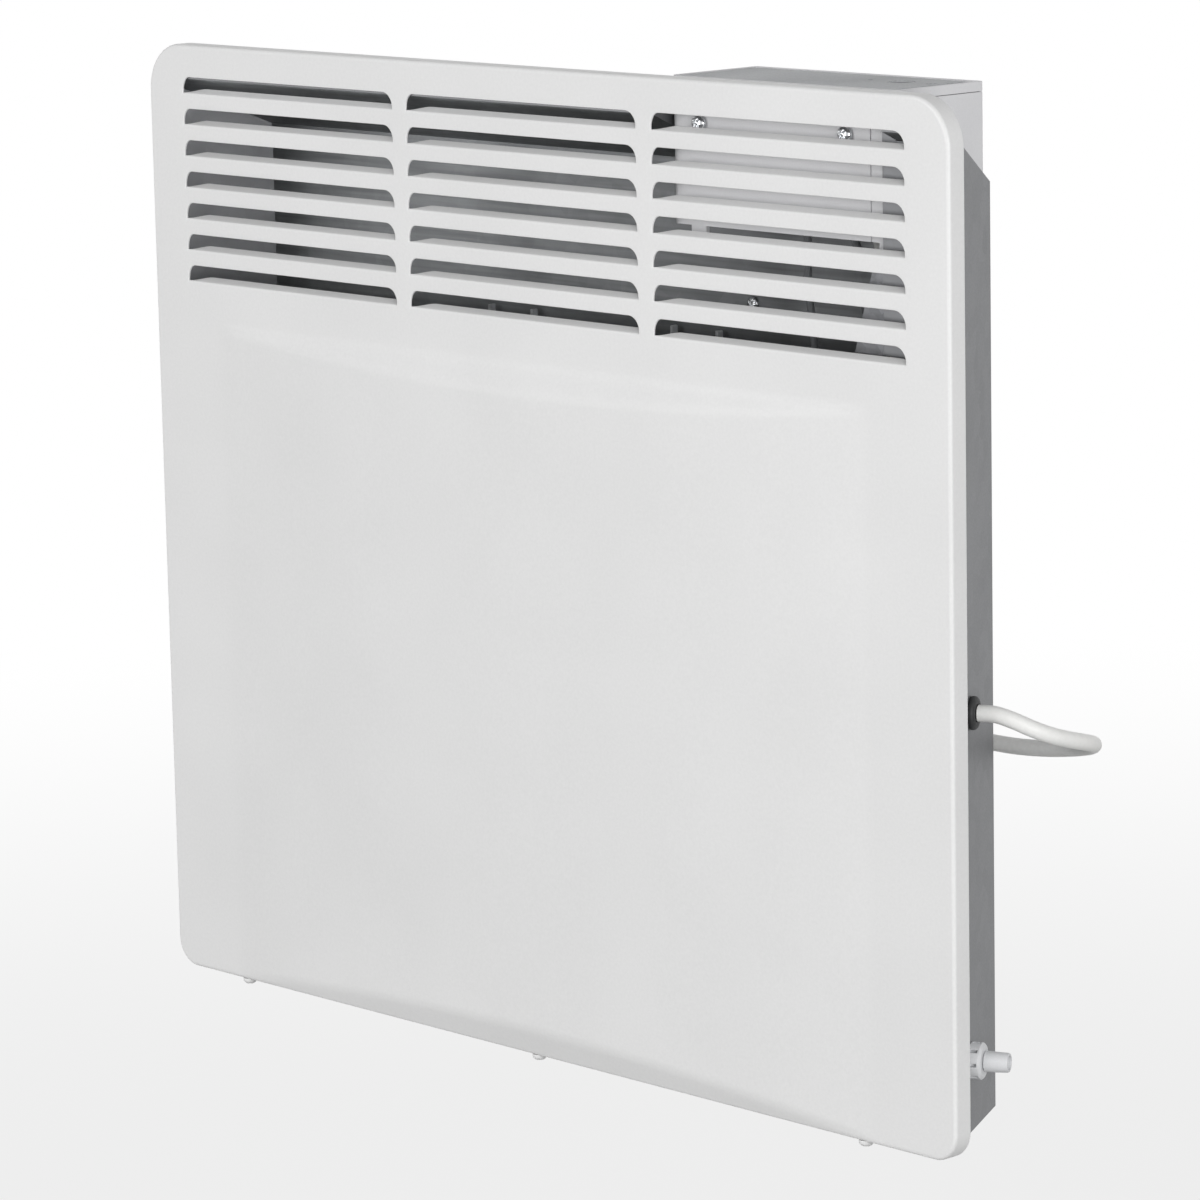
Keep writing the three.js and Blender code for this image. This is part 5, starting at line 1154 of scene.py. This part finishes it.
# Epoxy paint: light grey, satin, with a faint orange peel
epoxy_paint = grained("epoxy_painted_steel", ("c6c8ca", "d1d3d5"), 1.3, (0.45, 0.58), 0.01)
for node, name in (
    ("bracket_arm_left", "wall_arm_left"), ("bracket_arm_right", "wall_arm_right"),
    ("bracket_rail_upper", "wall_rail_upper"), ("bracket_rail_lower", "wall_rail_lower"),
):
    dressed(node, name, epoxy_paint, "bracket_steel", 0.35, "wall_bracket")

# Grey nylon: satin, darker than the paint
catch_nylon = grained("moulded_grey_nylon", ("8f9194", "999b9e"), 0.9, (0.4, 0.55), 0.012)
dressed("bottom_catch", "sliding_catch", catch_nylon, "grey_plastic", 0.4, "catch")


# ---
# Studio: a pale floor that keeps a soft shadow, a white surround, a large lamp before the panel,
# one at its right and a fill lamp without gloss behind it. None of it is part of the radiator.

FLOOR_DROP = 0.15
FLOOR_RADIUS = 1.8
FLOOR_SIDES = 96
GLOW_START = 0.35
LEAST_GLOW = 0.82
SOFT_LIGHT = 0.25
WHITE = (1, 1, 1, 1)
LAMP_TARGET = Vector((0, -0.05, -0.1))


def seen_ray(tree):
    """1 for rays that the camera sees directly, in a gloss or through glass, else 0."""
    rays = add_node(tree, "ShaderNodeLightPath").outputs
    gloss = add_node(tree, "ShaderNodeMath", {"operation": "MAXIMUM"}, {
        0: rays["Is Glossy Ray"], 1: rays["Is Transmission Ray"],
    })
    return add_node(tree, "ShaderNodeMath", {"operation": "MAXIMUM"}, {
        0: rays["Is Camera Ray"], 1: gloss.outputs[0],
    }).outputs[0]


world = bpy.data.worlds.new("studio")
bpy.context.scene.world = world
world.use_nodes = True
tree = world.node_tree
tree.nodes.clear()
soft_light, white = [
    add_node(tree, "ShaderNodeBackground", inputs={"Color": WHITE, "Strength": strength})
    for strength in (SOFT_LIGHT, 1.0)
]
surround = add_node(tree, "ShaderNodeMixShader", inputs={
    0: seen_ray(tree), 1: soft_light.outputs[0], 2: white.outputs[0],
})
add_node(tree, "ShaderNodeOutputWorld", inputs={"Surface": surround.outputs[0]})

floor_shape = bmesh.new()
bmesh.ops.create_circle(floor_shape, cap_ends=True, radius=FLOOR_RADIUS, segments=FLOOR_SIDES)
floor_mesh = bpy.data.meshes.new("floor")
bmesh.ops.translate(
    floor_shape, verts=floor_shape.verts, vec=(0, 0, cad_box[0][2] - FLOOR_DROP)
)
floor_shape.to_mesh(floor_mesh)
floor_shape.free()
floor = linked("floor", floor_mesh)
pale_floor = bpy.data.materials.new("pale_floor")
pale_floor.use_nodes = True
tree = pale_floor.node_tree
tree.nodes.clear()
place = add_node(tree, "ShaderNodeTexCoord").outputs["Object"]
flat = add_node(tree, "ShaderNodeVectorMath", {"operation": "MULTIPLY"}, {0: place, 1: (1, 1, 0)})
reach = add_node(tree, "ShaderNodeVectorMath", {"operation": "LENGTH"}, {0: flat.outputs[0]})
fade = add_node(tree, "ShaderNodeMapRange", {"interpolation_type": "SMOOTHSTEP"}, {
    "Value": reach.outputs["Value"], "From Min": GLOW_START, "From Max": FLOOR_RADIUS,
    "To Min": LEAST_GLOW, "To Max": 1.0,
})
share = add_node(tree, "ShaderNodeMath", {"operation": "MULTIPLY"}, {
    0: seen_ray(tree), 1: fade.outputs["Result"],
})
matt = add_node(tree, "ShaderNodeBsdfDiffuse", inputs={"Color": srgb("959594")})
glow = add_node(tree, "ShaderNodeEmission", inputs={"Color": WHITE, "Strength": 1.0})
surface = add_node(tree, "ShaderNodeMixShader", inputs={
    0: share.outputs[0], 1: matt.outputs[0], 2: glow.outputs[0],
})
add_node(tree, "ShaderNodeOutputMaterial", inputs={"Surface": surface.outputs[0]})
floor_mesh.materials.append(pale_floor)

for name, place, power, size, gloss in (
    ("key_lamp", (-0.9, -3.0, 0.5), 50.0, 2.0, True),
    ("side_lamp", (2.9, -1.5, 0.4), 74.0, 1.8, True),
    ("rear_lamp", (-1.2, 2.8, 0.5), 45.0, 1.8, False),
):
    lamp_data = bpy.data.lights.new(name, "AREA")
    lamp_data.energy = power
    lamp_data.size = size
    lamp = linked(name, lamp_data)
    lamp.location = place
    lamp.visible_glossy = gloss
    towards = LAMP_TARGET - Vector(place)
    lamp.rotation_euler = towards.to_track_quat("-Z", "Y").to_euler()

bpy.context.scene.view_settings.view_transform = "Standard"
